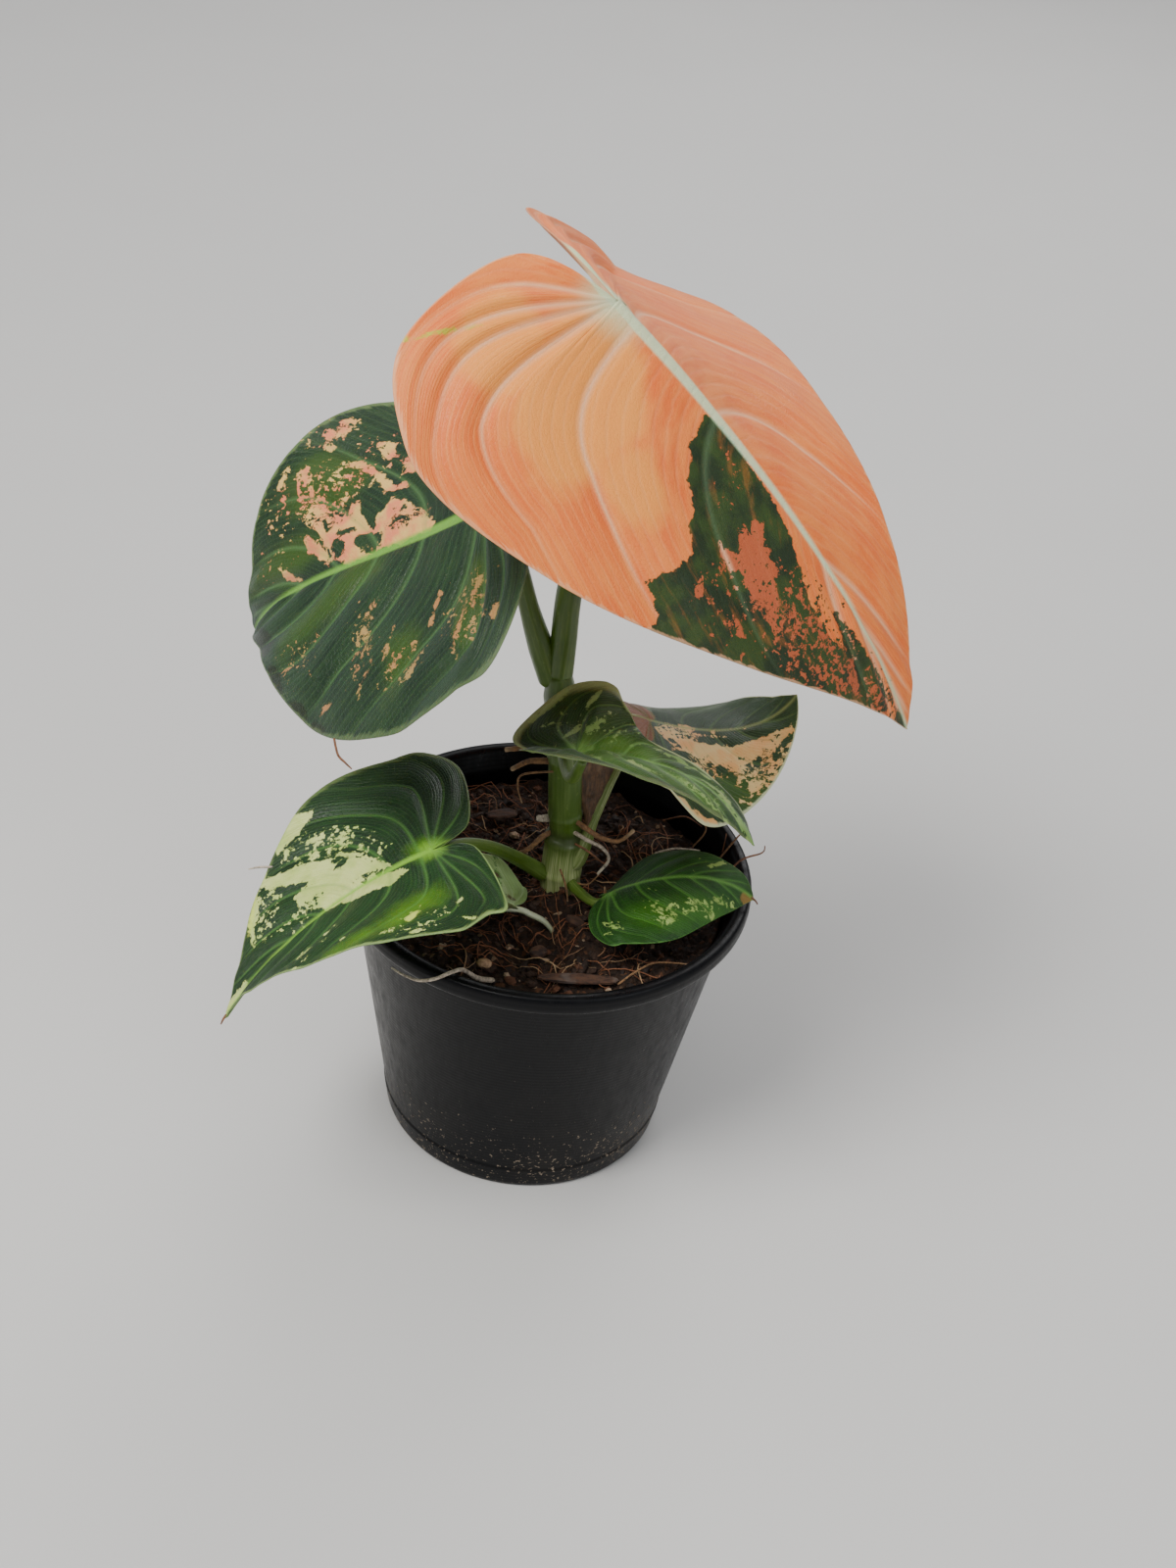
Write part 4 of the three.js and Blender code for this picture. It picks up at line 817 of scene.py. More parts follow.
def blade_rise(leaf, height, u, v, s, along, phase, gap):
    """How far a blade's middle surface is raised along its normal. Strips of height
    0.6 sin^2(pi phase) + 0.4 (1 - e^-(d/w)^2), at d from the nearest vein, puff up between the
    veins and sink at the midrib and the margin. The finer ribs, a wave along the margin, a groove
    over the midrib and the pleats sin(7 angle) of a crumpled foot are added to them."""
    size = leaf_size(leaf)
    away = np.abs(phase - np.round(phase)) * gap
    hold = step_up(0, 0.16, s) * (1 - 0.75 * step_up(0.72, 1, s)) * step_up(0.02, 0.12, along)
    hold = hold * np.clip(gap / CROWDED, 0, 1)
    strips = STRIPS * (0.5 - 0.5 * np.cos(2 * np.pi * phase))
    strips = strips + TRENCHES * (1 - bell(away, TRENCH_WIDTH * size))
    strips = strips + FINE_RIBS * np.cos(2 * np.pi * phase * FINE_RIBS_PER_STRIP) - 0.5
    wave = WAVE * step_up(0.6, 1, s) * step_up(0, 0.1, along) * np.sin(np.pi * phase + leaf["heading"])
    groove = GROOVE * bell(v, GROOVE_WIDTH * size)
    pleat = leaf.get("pleat", 0) * np.sin(PLEATS * np.arctan2(v, u)) * (1 - step_up(0.8, 1, s))
    pleat = pleat * np.exp(-2 * (np.hypot(u, v) / PLEAT_REACH - 1) ** 2)
    return height * (strips * hold + wave - groove) + pleat


def put_blade(name, leaf, settings, materials):
    """One leaf blade. Its middle surface is flat_blade lifted by lift_blade and raised by
    blade_rise. It lies half its thickness to each side, with a bell-shaped rib under the midrib and
    under each vein, round a rounded margin."""
    quick = 1
    size = leaf_size(leaf)
    rows, columns = int(settings.rows * size * quick), int(settings.columns * size * quick)
    across, along = np.meshgrid(np.linspace(-1, 1, 2 * rows + 1), np.linspace(0, 1, columns + 1),
                                indexing="ij")
    u, v = flat_blade(leaf, across, along)
    middle, upright = lift_blade(leaf, u, v)
    normal = np.cross(np.gradient(middle, axis=1), np.gradient(middle, axis=0))
    long_enough = np.linalg.norm(normal, axis=-1, keepdims=True) > 1e-5
    normal = np.where(long_enough, unit(normal), upright)
    normal = normal * np.where((normal * upright).sum(-1, keepdims=True) < 0, -1, 1)
    s = np.abs(across)
    phase, gap = vein_phase(leaf, s, along, middle)
    height = settings.relief / MM * leaf["relief"]
    rise = blade_rise(leaf, height, u, v, s, along, phase, gap)
    thickness = settings.thickness / MM * (0.55 + 0.45 * size)
    half = thickness / 2 * (1 - 0.45 * step_up(0.6, 1, s))
    away = np.abs(phase - np.round(phase)) * gap
    rib = MIDRIB_HEIGHT * size * bell(v, MIDRIB_HALF_WIDTH * size) * step_up(1.05, 0.1, u / leaf["length"])
    rib = rib + VEIN_HEIGHT * height * bell(away, VEIN_HALF_WIDTH) * step_up(1.0, 0.1, s)
    # Both sides meet at the tip and at the junction.
    apart = np.ones(columns + 1)
    apart[[0, -1]] = 0
    base = middle + normal * (rise * apart)[..., None]
    upper = base + normal * (half * apart)[..., None]
    lower = base - normal * ((half + rib) * apart)[..., None]
    outward = unit(middle[[0, -1]] - middle[[1, -2]])
    rims = base[[0, -1]] + outward * (half[[0, -1]] * apart)[..., None]
    loop = np.concatenate([upper, rims[1:], lower[::-1], rims[:1]])
    order = np.concatenate([np.arange(2 * rows + 1), [2 * rows], np.arange(2 * rows, -1, -1), [0]])
    fields = {"vein_phase": phase, "vein_gap": np.clip(gap, 0, WIDEST_GAP), "side_share": s}
    for key, field in pattern_fields(name, u, v).items():
        fields["field_" + key] = field
    attributes = {key: field[order].ravel() for key, field in fields.items()}
    attributes["flat_place"] = np.stack([u, v, 0 * u], -1)[order].reshape(-1, 3) * MM
    below = np.repeat(np.arange(len(order)) >= 2 * rows + 1, columns)
    put_surface(name + "_blade", loop, grid_faces(len(order), columns + 1, wrap_rows=True),
                slot=leaf["slot"], replaces=[name + "_leaf_blade"], materials=materials,
                attributes=attributes, face_materials=below)


def blade_finish(name, leaf, underside):
    """The skin of a blade: two ground tones, ragged patches with islands and freckles, bright
    places, pale veins and midrib, a pale margin line, and the fine grain of the skin."""
    tone = COLOURS[name]
    sheen, sheen_tint = tone.get("sheen", (0.04, (1, 1, 1)))
    f = Finish(name + ("_underside" if underside else "_skin"), Specular_IOR_Level=0.36,
               Subsurface_Weight=0.1, Subsurface_Scale=0.003, Subsurface_Radius=(1.0, 0.6, 0.25),
               Sheen_Weight=sheen, Sheen_Roughness=0.4, Sheen_Tint=sheen_tint)
    place = f.read("flat_place", "Vector")
    u, v, _ = f.split(place)
    side = f.read("side_share")
    broad = f.noise(place, 42, 5, 0.6)
    ragged = f.noise(place, 300, 7, 0.66, 0.5)
    speck = f.noise(place, 680, 5, 0.62, 0.3)
    grain = f.noise(place, 2600, 3, 0.6)
    # Millimetres from the nearest vein, streaks that run with the veins, and the share of the way to
    # the nearest of the finer ribs.
    phase = f.read("vein_phase")
    away = f.times(f.math("PINGPONG", phase, 0.5), f.read("vein_gap"))
    with_veins = f.add("CombineXYZ", {0: f.times(phase, 3.2), 1: f.times(side, 1.6)}).outputs[0]
    streak = f.noise(with_veins, 3.0, 6, 0.62)
    finer = f.math("PINGPONG", f.times(broad, 1.2, f.times(phase, 9)), 0.5)

    # Where each colour of the pattern lies. A freckle turns patch to ground and ground to patch.
    rough_edge = f.centred(ragged)
    patch = f.times(rough_edge, 5.5, f.read("field_patch"))
    island = f.times(rough_edge, 9.0, f.read("field_island"))
    on_patch = f.times(f.rise(patch, -0.1, 0.2), f.rise(island, 0.15, -0.1))
    strength = f.read("field_freckles")
    fleck = f.times(ragged, 0.5, f.times(speck, 0.5, f.times(streak, 0.12)))
    fleck = f.math("SUBTRACT", fleck, f.times(strength, -0.125, 0.705))
    fleck = f.times(f.rise(fleck, -0.006, 0.01), f.rise(strength, 0.02, 0.1))
    on_patch = f.math("ABSOLUTE", f.math("SUBTRACT", on_patch, fleck))
    bright = f.rise(f.times(f.centred(broad), 12.0, f.read("field_bright")), -3.0, 2.5)
    mark = f.rise(f.times(rough_edge, 3.0, f.read("field_mark")), -0.2, 0.4)

    ground = f.rise(f.times(streak, 0.6, f.times(broad, 0.4)), 0.38, 0.62)
    ground = f.mix(ground, tone["deep"], tone["first"])
    ground = f.mix(f.times(bright, 0.8), ground, tone["third"])
    ground = f.mix(f.times(f.rise(finer, 0.2, 0.0), 0.1), ground, tone["vein"])
    if "inner" in tone:
        ground = f.mix(f.rise(patch, -0.4, 0.6, (0.0, 0.9)), ground, tone["inner"])
    second = f.mix(f.rise(f.noise(place, 110, 3), 0.4, 0.6), tone["second"], tone["blush"])
    second = f.mix(f.times(f.rise(streak, 0.52, 0.7), 0.16), second, tone["first"])
    if "shy" in tone:
        second = f.mix(f.rise(v, MM, -MM, (0.0, 0.75)), second, tone["shy"])
    colour = f.mix(on_patch, ground, second)
    # The marks. On the right leaf the mark is painted backlight on its lobe's brown.
    colour = f.mix(f.times(mark, 0.9), colour, tone["mark"])

    # Veins, the midrib with the star round its foot, and the margin.
    vein_reach = f.times(side, -0.6 * tone["vein_width"], tone["vein_width"])
    on_vein = f.math("SUBTRACT", 1.0, f.math("DIVIDE", away, vein_reach))
    on_vein = f.math("POWER", f.math("MAXIMUM", on_vein, 0.0), 1.6)
    on_vein = f.times(on_vein, f.rise(side, 1.0, 0.6, (0.2, 1.0)))
    keep = f.rise(on_patch, 0.0, 1.0, (tone["vein_share"], 0.55 * tone["vein_share"]))
    vein_tone = f.mix(on_patch, tone["vein"], tone.get("patch_vein", tone["vein"]))
    colour = f.mix(f.times(on_vein, keep), colour, vein_tone)
    wide, narrow = tone["midrib_width"]
    to_tip = f.math("MAXIMUM", f.times(u, -1 / leaf["length"] / MM, 1.0), 0.0)
    to_tip = f.math("POWER", f.math("MINIMUM", to_tip, 1.0), 2.2)
    from_rib = f.times(f.math("ABSOLUTE", v), 1 / MM)
    from_rib = f.math("SUBTRACT", from_rib, f.times(to_tip, wide - narrow, narrow))
    from_foot = f.math("SQRT", f.math("ADD", f.times(u, u), f.times(v, v)))
    by_foot = f.rise(f.times(f.centred(streak), 0.006, from_foot), tone["foot"] * MM, 0.0)
    pale = f.math("MAXIMUM", f.times(f.rise(from_rib, 0.7, -0.6), 0.85), f.times(by_foot, 0.8))
    colour = f.mix(pale, colour, tone["midrib"])
    start, full, *halves = tone.get("rim", (0.984, 0.996, 0.5, 0.5))
    rim = f.rise(f.times(f.centred(streak), 0.08, side), start, full)
    colour = f.mix(f.times(rim, f.rise(v, -MM, MM, halves)), colour, tone.get("edge", tone["vein"]))
    if underside:
        colour = f.mix(0.62, colour, tone["under"])
        colour = f.mix(f.times(on_vein, 0.35), colour, tone["midrib"])
    colour = f.mix(f.spread(grain, 0.0, 0.16), colour, (0.72, 0.7, 0.6), "MULTIPLY")

    cells = f.add("TexVoronoi", {"Vector": place, "Scale": 950}, feature="DISTANCE_TO_EDGE").outputs[0]
    height = f.times(grain, 0.5, f.times(f.rise(finer, 0.0, 0.25), 0.4))
    height = f.times(streak, 1.2, f.times(f.rise(cells, 0.0, 0.12), 0.35, height))
    rough = tone.get("rough", 0.4)
    rough = f.spread(f.noise(place, 90, 3), rough - 0.07, rough + 0.09)
    return f.wear(colour, rough, f.bump(height, 0.00022, 0.55))


# Pot and mix

POT_FLOOR, POT_WALL = 1.6, 1.4
WALL_TOP_RADIUS, BASE_RADIUS = 50.5, 38.5
# Height of the step under the rim's band, and the cut of the profile's corners.
BAND_HEIGHT, CORNER = 5, 0.9
DRAIN_HOLES, DRAIN_RADIUS, DRAIN_CIRCLE, DRAIN_SIDES = 6, 4, 27, 32
CREASE_ANGLE = 35
SOIL_TOP, SOIL_RELIEF, SOIL_DISHING = 75, 0.8, 1.2
# Gaps between the mix and the pot: at its top edge, at its foot and over the floor.
TOP_GAP, FOOT_GAP, FLOOR_GAP = 0.45, 0.6, 0.3
# How far from the middle crumbs, the middles of fibres and the ends of fibres may lie.
CRUMB_REACH, FIBRE_REACH, FIBRE_END_REACH = 45.5, 41, 46.2


def soil_height(x, y):
    """Height of the mix before its grain: two crossing waves, sinking a little towards the wall."""
    waves = np.sin(x / 7 + 1) * np.cos(y / 9) + 0.6 * np.sin(x / 4 - y / 5)
    return SOIL_TOP + SOIL_RELIEF * waves - SOIL_DISHING * (np.hypot(x, y) / WALL_TOP_RADIUS) ** 2


def grain_height(x, y, grain):
    """Height of the mix with its grain: lumps of three sizes on soil_height, sharper where high."""
    lumps = 0.9 * lattice_noise(x, y, 6.5, 3) + 0.7 * lattice_noise(x, y, 2.6, 4)
    lumps = lumps + 0.5 * lattice_noise(x, y, 1.1, 5)
    return soil_height(x, y) + grain * (lumps - 0.3 + 0.5 * np.maximum(lumps, 0) ** 2)


def lathe(profile, sectors):
    """A profile of radius and height turned round Z: x = r cos a, y = r sin a."""
    a = round_angles(sectors)
    r, z = np.asarray(profile, float).T
    x, y = r[:, None] * np.cos(a), r[:, None] * np.sin(a)
    return np.stack([x, y, z[:, None] + 0 * x], -1)


def rounded(points, radius, steps=5):
    """A profile with each inner corner cut back by radius and joined by a quadratic curve."""
    p = np.asarray(points, float)
    into, out = unit(p[:-2] - p[1:-1]), unit(p[2:] - p[1:-1])
    reach = np.minimum(radius, 0.45 * np.minimum(np.linalg.norm(p[:-2] - p[1:-1], axis=1),
                                                 np.linalg.norm(p[2:] - p[1:-1], axis=1)))[:, None]
    a, b, c = p[1:-1] + into * reach, p[1:-1], p[1:-1] + out * reach
    t = np.linspace(0, 1, steps)[None, :, None]
    arcs = (1 - t) ** 2 * a[:, None] + 2 * t * (1 - t) * b[:, None] + t * t * c[:, None]
    return np.concatenate([p[:1], arcs.reshape(-1, 2), p[-1:]])


def put_pot(settings):
    """The pot: a lathe of its wall, rolled rim, foot ring and floor, with round drain holes cut."""
    rim, height = settings.rim_radius / MM, settings.height / MM
    step = height - BAND_HEIGHT
    profile = rounded([
        (0, 0.9), (BASE_RADIUS - 5, 0.9), (BASE_RADIUS - 4.2, 0), (BASE_RADIUS - 0.6, 0),
        (BASE_RADIUS, 1.2), (BASE_RADIUS + 0.95, 7), (BASE_RADIUS + 0.7, 7.6),
        (WALL_TOP_RADIUS, step - 2.2), (WALL_TOP_RADIUS + 0.7, step - 1.2), (rim - 1.4, step - 0.7),
        (rim - 0.3, step + 0.3), (rim, step + 1.4), (rim, height - 1.3), (rim - 0.5, height - 0.3),
        (rim - 1.3, height), (rim - 2.6, height), (rim - 3.7, height - 0.8),
        (WALL_TOP_RADIUS - POT_WALL, step - 1), (BASE_RADIUS - POT_WALL, POT_FLOOR), (0, POT_FLOOR),
    ], CORNER)
    pot = put_rings("pot_shell", lathe(profile, 240), slot="pot_plastic",
                    replaces=["nursery_pot"])
    drill = lathe([(0, -3), (DRAIN_RADIUS, -3), (DRAIN_RADIUS, 4), (0, 4)], DRAIN_SIDES)
    for k in range(DRAIN_HOLES):
        turn = 2 * np.pi * (k + 0.5) / DRAIN_HOLES
        aside = DRAIN_CIRCLE * np.array([np.cos(turn), np.sin(turn), 0])
        cutter = put_rings("drill", drill + aside, body=None)
        cut = pot.modifiers.new("drain hole", "BOOLEAN")
        cut.operation, cut.object, cut.solver = "DIFFERENCE", cutter, "EXACT"
        graph = bpy.context.evaluated_depsgraph_get()
        whole = bpy.data.meshes.new_from_object(pot.evaluated_get(graph))
        pot.modifiers.clear()
        pot.data = whole
        bpy.data.objects.remove(cutter)
    smooth_by_angle(pot, CREASE_ANGLE)
    pot.data.materials.append(plastic_finish(settings))


def plastic_finish(settings):
    """Moulded satin plastic: faint turning marks, scuffs and dried specks of soil near the foot."""
    f = Finish("black_plastic", IOR=1.5, Specular_IOR_Level=0.14)
    place = f.place()
    z = f.split(place)[2]
    scuff = f.noise(f.stretch(place, (1, 1, 0.35)), 420, 6, 0.7)
    cloud = f.noise(place, 38, 4)
    speck = f.noise(place, 950, 4, 0.6)
    low = f.rise(z, 0.045, 0.004)
    on_speck = f.rise(f.times(low, 0.13, f.times(cloud, 0.12, speck)), 0.79, 0.83)
    film = f.times(f.rise(cloud, 0.45, 0.75), f.times(low, 0.03, 0.003))
    colour = f.mix(film, settings.plastic, settings.dust)
    colour = f.mix(f.rise(scuff, 0.66, 0.78, (0.0, 0.012)), colour, (0.5, 0.5, 0.52))
    colour = f.mix(f.times(on_speck, 0.75), colour, settings.dust)
    rough = f.times(on_speck, 0.4, f.rise(scuff, 0.35, 0.7, (0.27, 0.42)))
    turning = f.math("SINE", f.times(z, 5200))
    height = f.times(on_speck, 1.4, f.times(scuff, 0.4, f.times(turning, 0.05)))
    return f.wear(colour, rough, f.bump(height, 0.0002, 0.5))


def put_soil_bed(settings):
    """The mix: a polar grid over its top at grain_height, down beside the wall and in along the
    floor of the pot, closed at both poles."""
    sectors, rings = ((300, 120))
    edge = BASE_RADIUS + (WALL_TOP_RADIUS - BASE_RADIUS) * 0.94 - POT_WALL - TOP_GAP
    radius = edge * np.linspace(0, 1, rings + 1) ** 0.9
    top = lathe(np.stack([radius, 0 * radius], -1), sectors)
    top[..., 2] = grain_height(top[..., 0], top[..., 1], settings.grain / MM)
    top[-1, :, 2] -= 0.8
    top[0] = top[0, 0]
    foot, floor = BASE_RADIUS - POT_WALL - FOOT_GAP, POT_FLOOR + FLOOR_GAP
    up = np.linspace(1, 0, 9)[1:]
    wall = np.stack([foot + (edge - foot) * up, floor + (SOIL_TOP - 3 - POT_FLOOR) * up], -1)
    rest = lathe(np.concatenate([wall, [(0, floor)]]), sectors)
    put_rings("soil_bed", np.concatenate([top, rest]), flip=True, slot="potting_mix",
              replaces=["potting_soil"], materials=[peat_finish(settings)])


def peat_finish(settings):
    """Moist peat: dark crumbs of several browns with pale flecks and a rough broken surface."""
    f = Finish("moist_peat", Specular_IOR_Level=0.3)
    place = f.place()
    crumb = f.noise(place, 520, 6, 0.7)
    cell = f.add("TexVoronoi", {"Vector": place, "Scale": 900.0})
    shade = f.split(cell.outputs["Color"])[0]
    colour = f.mix(f.rise(crumb, 0.35, 0.68), settings.peat, (0.045, 0.024, 0.014))
    colour = f.mix(f.rise(shade, 0.86, 0.9, (0.0, 0.6)), colour, (0.13, 0.055, 0.024))
    colour = f.mix(f.rise(shade, 0.025, 0.015, (0.0, 0.7)), colour, (0.3, 0.2, 0.12))
    height = f.times(crumb, 1.0, f.times(cell.outputs["Distance"], -0.6))
    return f.wear(colour, f.spread(crumb, 0.7, 0.98), f.bump(height, 0.0009, 0.9))


# The twelve corners and twenty faces of the ball that each crumb starts from.
GOLDEN = (1 + 5**0.5) / 2
ICO_POINTS = unit(np.array([(-1, GOLDEN, 0), (1, GOLDEN, 0), (-1, -GOLDEN, 0), (1, -GOLDEN, 0),
                            (0, -1, GOLDEN), (0, 1, GOLDEN), (0, -1, -GOLDEN), (0, 1, -GOLDEN),
                            (GOLDEN, 0, -1), (GOLDEN, 0, 1), (-GOLDEN, 0, -1), (-GOLDEN, 0, 1)], float))
ICO_FACES = np.array([(0, 11, 5), (0, 5, 1), (0, 1, 7), (0, 7, 10), (0, 10, 11), (1, 5, 9), (5, 11, 4),
                      (11, 10, 2), (10, 7, 6), (7, 1, 8), (3, 9, 4), (3, 4, 2), (3, 2, 6), (3, 6, 8),
                      (3, 8, 9), (4, 9, 5), (2, 4, 11), (6, 2, 10), (8, 6, 7), (9, 8, 1)])


def scatter_places(rng, count, radius):
    """Even random places on the mix: radius times the root of a random share, at a random angle."""
    r, a = radius * np.sqrt(rng.uniform(0, 1, count)), rng.uniform(0, 2 * np.pi, count)
    return r * np.cos(a), r * np.sin(a)


def turns_about_z(angle):
    """Rotations about Z as (count, 3, 3) matrices."""
    c, s, o = np.cos(angle), np.sin(angle), 0 * angle
    return np.stack([np.stack([c, -s, o], -1), np.stack([s, c, o], -1), np.stack([o, o, o + 1], -1)], -2)


def put_crumbs(settings):
    """Loose crumbs: each a twenty-sided ball, stretched to a random size, its corners pushed in or
    out at random, turned about Z and set on the mix."""
    rng = np.random.default_rng(21)
    count = settings.crumbs // 1
    x, y = scatter_places(rng, count, CRUMB_REACH)
    size = 0.35 + 1.15 * rng.uniform(0, 1, count) ** 3
    shape = np.stack([size * rng.uniform(1, 1.9, count), size * rng.uniform(0.7, 1.2, count),
                      size * rng.uniform(0.45, 0.9, count)], -1)
    ball = ICO_POINTS * rng.uniform(0.72, 1.15, (count, 12, 1)) * shape[:, None]
    tilt = rng.uniform(-0.5, 0.5, (count, 1))
    ball[..., 2] += tilt * ball[..., 0]
    ball = np.einsum("nij,npj->npi", turns_about_z(rng.uniform(0, 6.3, count)), ball)
    z = grain_height(x, y, settings.grain / MM) + 0.25 * shape[:, 2]
    ball += np.stack([x, y, z], -1)[:, None]
    faces = (np.arange(count)[:, None, None] * 12 + ICO_FACES).reshape(-1, 3)
    tone = np.repeat(rng.uniform(0, 1, count), 12)
    put_surface("soil_crumbs", ball, faces, slot="potting_mix", attributes={"tone": tone},
                materials=[crumb_finish()], smooth=False)


def crumb_finish():
    """Crumbs of bark and peat in browns, a few of them tan or nearly white."""
    f = Finish("crumb_mix")
    tone = f.read("tone")
    grain = f.noise(f.place(), 1400, 4)
    colour = f.mix(f.rise(tone, 0.0, 0.75), (0.017, 0.009, 0.006), (0.05, 0.024, 0.013))
    colour = f.mix(f.rise(tone, 0.84, 0.87), colour, (0.13, 0.05, 0.022))
    colour = f.mix(f.rise(tone, 0.965, 0.975), colour, (0.42, 0.3, 0.2))
    colour = f.mix(f.spread(grain, 0.0, 0.45), colour, (0.25, 0.2, 0.17), "MULTIPLY")
    return f.wear(colour, f.spread(grain, 0.7, 0.95), f.bump(grain, 0.0005, 0.8))


def put_fibres(settings):
    """Coir fibres: thin tubes whose lines start at a random place and heading, turn evenly, wave
    up and down by a sine, and keep above the mix."""
    rng = np.random.default_rng(8)
    count = settings.fibres // 1
    steps, sides = 11, 4
    x, y = scatter_places(rng, count, FIBRE_REACH)
    t = np.linspace(-0.5, 0.5, steps)
    length = rng.uniform(5, 21, count)[:, None]
    heading = rng.uniform(0, 6.3, count)[:, None] + rng.normal(0, 1.6, count)[:, None] * t
    line_x = x[:, None] + np.cumsum(np.cos(heading), 1) * length / steps
    line_y = y[:, None] + np.cumsum(np.sin(heading), 1) * length / steps
    shrink = np.minimum(1, FIBRE_END_REACH / np.maximum(np.hypot(line_x, line_y), 1e-6))
    line_x, line_y = line_x * shrink, line_y * shrink
    hump = rng.uniform(0.2, 2.4, count)[:, None] * np.sin(np.pi * (t + 0.5)) ** 2
    end_lift = rng.uniform(0, 1, count)[:, None] ** 4 * 5 * np.clip(t + 0.1, 0, 1)
    line_z = grain_height(line_x, line_y, settings.grain / MM) + 0.35 + hump + end_lift
    radii = rng.uniform(0.09, 0.2, count)[:, None] * np.interp(t, [-0.5, -0.2, 0.3, 0.5], [0.6, 1, 1, 0.3])
    rings = tube_rings(np.stack([line_x, line_y, line_z], -1), radii, sides)
    tone = np.repeat(rng.uniform(0, 1, count), (steps + 2) * sides)
    put_surface("coir_fibres", rings, tube_faces(count, steps, sides), slot="potting_mix",
                attributes={"tone": tone}, materials=[fibre_finish(settings.coir)])


def fibre_finish(coir):
    """Dry fibres from dark brown over red-brown to straw, dull and finely streaked."""
    f = Finish("coir")
    tone = f.read("tone")
    streak = f.noise(f.place(), 900, 3)
    colour = f.mix(f.rise(tone, 0.0, 0.6), (0.05, 0.02, 0.011), coir)
    colour = f.mix(f.rise(tone, 0.8, 0.95), colour, (0.5, 0.33, 0.18))
    colour = f.mix(f.spread(streak, 0.0, 0.5), colour, (0.45, 0.4, 0.35), "MULTIPLY")
    return f.wear(colour, f.spread(streak, 0.55, 0.85), f.bump(streak, 0.0002, 0.6))


# Stem, stalks and roots

STEM_LINE = [(4.6, 1, 61), (4.4, 0, 76), (4.1, 0, 84), (4.1, 0, 91), (4.2, 0, 94), (3.4, 0, 101),
             (2.7, 0, 109), (1.9, 0, 119), (0.6, 0, 128), (-1, 0, 136), (-2, 0.5, 143)]
STEM_RADII = [4.6, 5.3, 5.1, 4.9, 4.2, 4.3, 4.3, 4.4, 4.4, 4.3, 2.6]
# Rings where leaves grew: height, width of the ring and how far it stands out.
STEM_RINGS = [(81, 1.2, 0.07), (91.5, 1.6, 0.1), (99, 1.0, 0.06), (117, 1.3, 0.08), (127, 1.1, 0.06)]
# Heights of the stem's pale foot and of the dark ring above it.
PALE_FOOT, DARK_RING = 86, 93.5
# A stalk meets its blade this far along the midrib, and this far under it beyond its own radius.
STALK_MEETS, STALK_GAP = 1.6, 0.6
# A stalk's line runs from its foot towards the blade, and its radii are spread evenly up to the
# blade. across and slot stand where its rings' across direction and its slot differ from the others'.
STALKS = {
    "top": dict(line=[(-1.8, 0.5, 140), (-1.7, 2, 150), (-1.6, 4, 164), (0.5, 9, 190), (2, 12, 215),
                      (2, 8, 234)], radii=(3.4, 3.3, 3.2, 2.9, 2.7, 2.6, 2.2)),
    "left": dict(line=[(-3, 1, 138), (-7.2, 2, 148), (-11, 3, 158), (-15, 3, 171), (-19.5, 0, 183)],
                 radii=(3.4, 3.2, 2.5, 2.1, 1.9, 1.7)),
    "low_left": dict(line=[(0, -2, 80), (-7, -7, 88), (-15, -16, 98), (-22, -26, 105)],
                     radii=(2.3, 1.9, 1.6, 1.5, 1.3)),
    "twisted": dict(line=[(1.2, 0, 122), (2.6, -10, 121.5), (4.6, -21.5, 126.5)],
                    radii=(2.2, 1.8, 1.5, 1.2)),
    "right": dict(line=[(4, 0, 81), (7.6, -1, 86), (9.6, -1, 92), (11.2, 1, 98), (14.6, 6, 108),
                        (18.5, 12.5, 115.5)], radii=(3.2, 2.9, 2, 1.3, 1.2, 1.2, 1.1)),
    "low_right": dict(line=[(5, -1, 80), (9.4, -7, 79.8), (14.4, -12.4, 81)], radii=(1.8, 1.4, 1.2, 1)),
    "small": dict(line=[(5, -17, 71.5), (3.4, -17.4, 74.6), (1.2, -18, 77.5), (-2, -18.6, 79.5),
                        (-5, -19, 81)], radii=(0.5, 0.6, 0.75, 0.8, 0.8, 0.8), across=(1, 0, 0),
                  slot="stalk_pale"),
}
# The aerial roots: line from the stem outwards, and radius there, of which a share is lost at the tip.
ROOTS = {
    "root_upper_left": ([(0, 1, 118), (-4.5, 2, 117.4), (-8.8, 2, 117), (-13.8, 2, 115.7)], 1),
    "root_mid_left": ([(1, 0, 116), (-4, -1, 115.8), (-7.5, 0, 114.3), (-11.6, 1, 110.4)], 1),
    "root_stub": ([(1.5, 0, 98), (-1.8, -1, 97.6), (-3.8, -1.5, 97.8)], 1.2),
    "root_low_left": ([(2, 0, 93.5), (-1.5, -2, 92.5), (-5, -3, 88.5), (-9.7, -3, 85.2)], 0.9),
    "root_right": ([(5, -1, 99), (9, -4, 98.6), (13, -5, 97), (18, -5, 96.2), (21.8, -5, 100.5)], 0.8),
    "root_loop": ([(5, -2, 96), (9.5, -4.8, 95.5), (14.5, -5.5, 93.5), (16.2, -5.5, 90),
                   (13.8, -5.5, 85)], 0.6),
}
ROOT_THINNING = 0.4
# The strand over the pot's rim, and its radii.
RIM_STRAND = [(-9, -41, 75.2), (-13, -44.5, 78.5), (-16.5, -47.5, 83.2), (-19, -50, 84.3),
              (-23, -52.3, 83.4), (-27, -50.8, 81), (-31, -48.4, 80), (-34.5, -45.6, 79.5)]
RIM_STRAND_RADII = [0.75, 0.7, 0.55, 0.5, 0.45, 0.4, 0.3, 0.22]
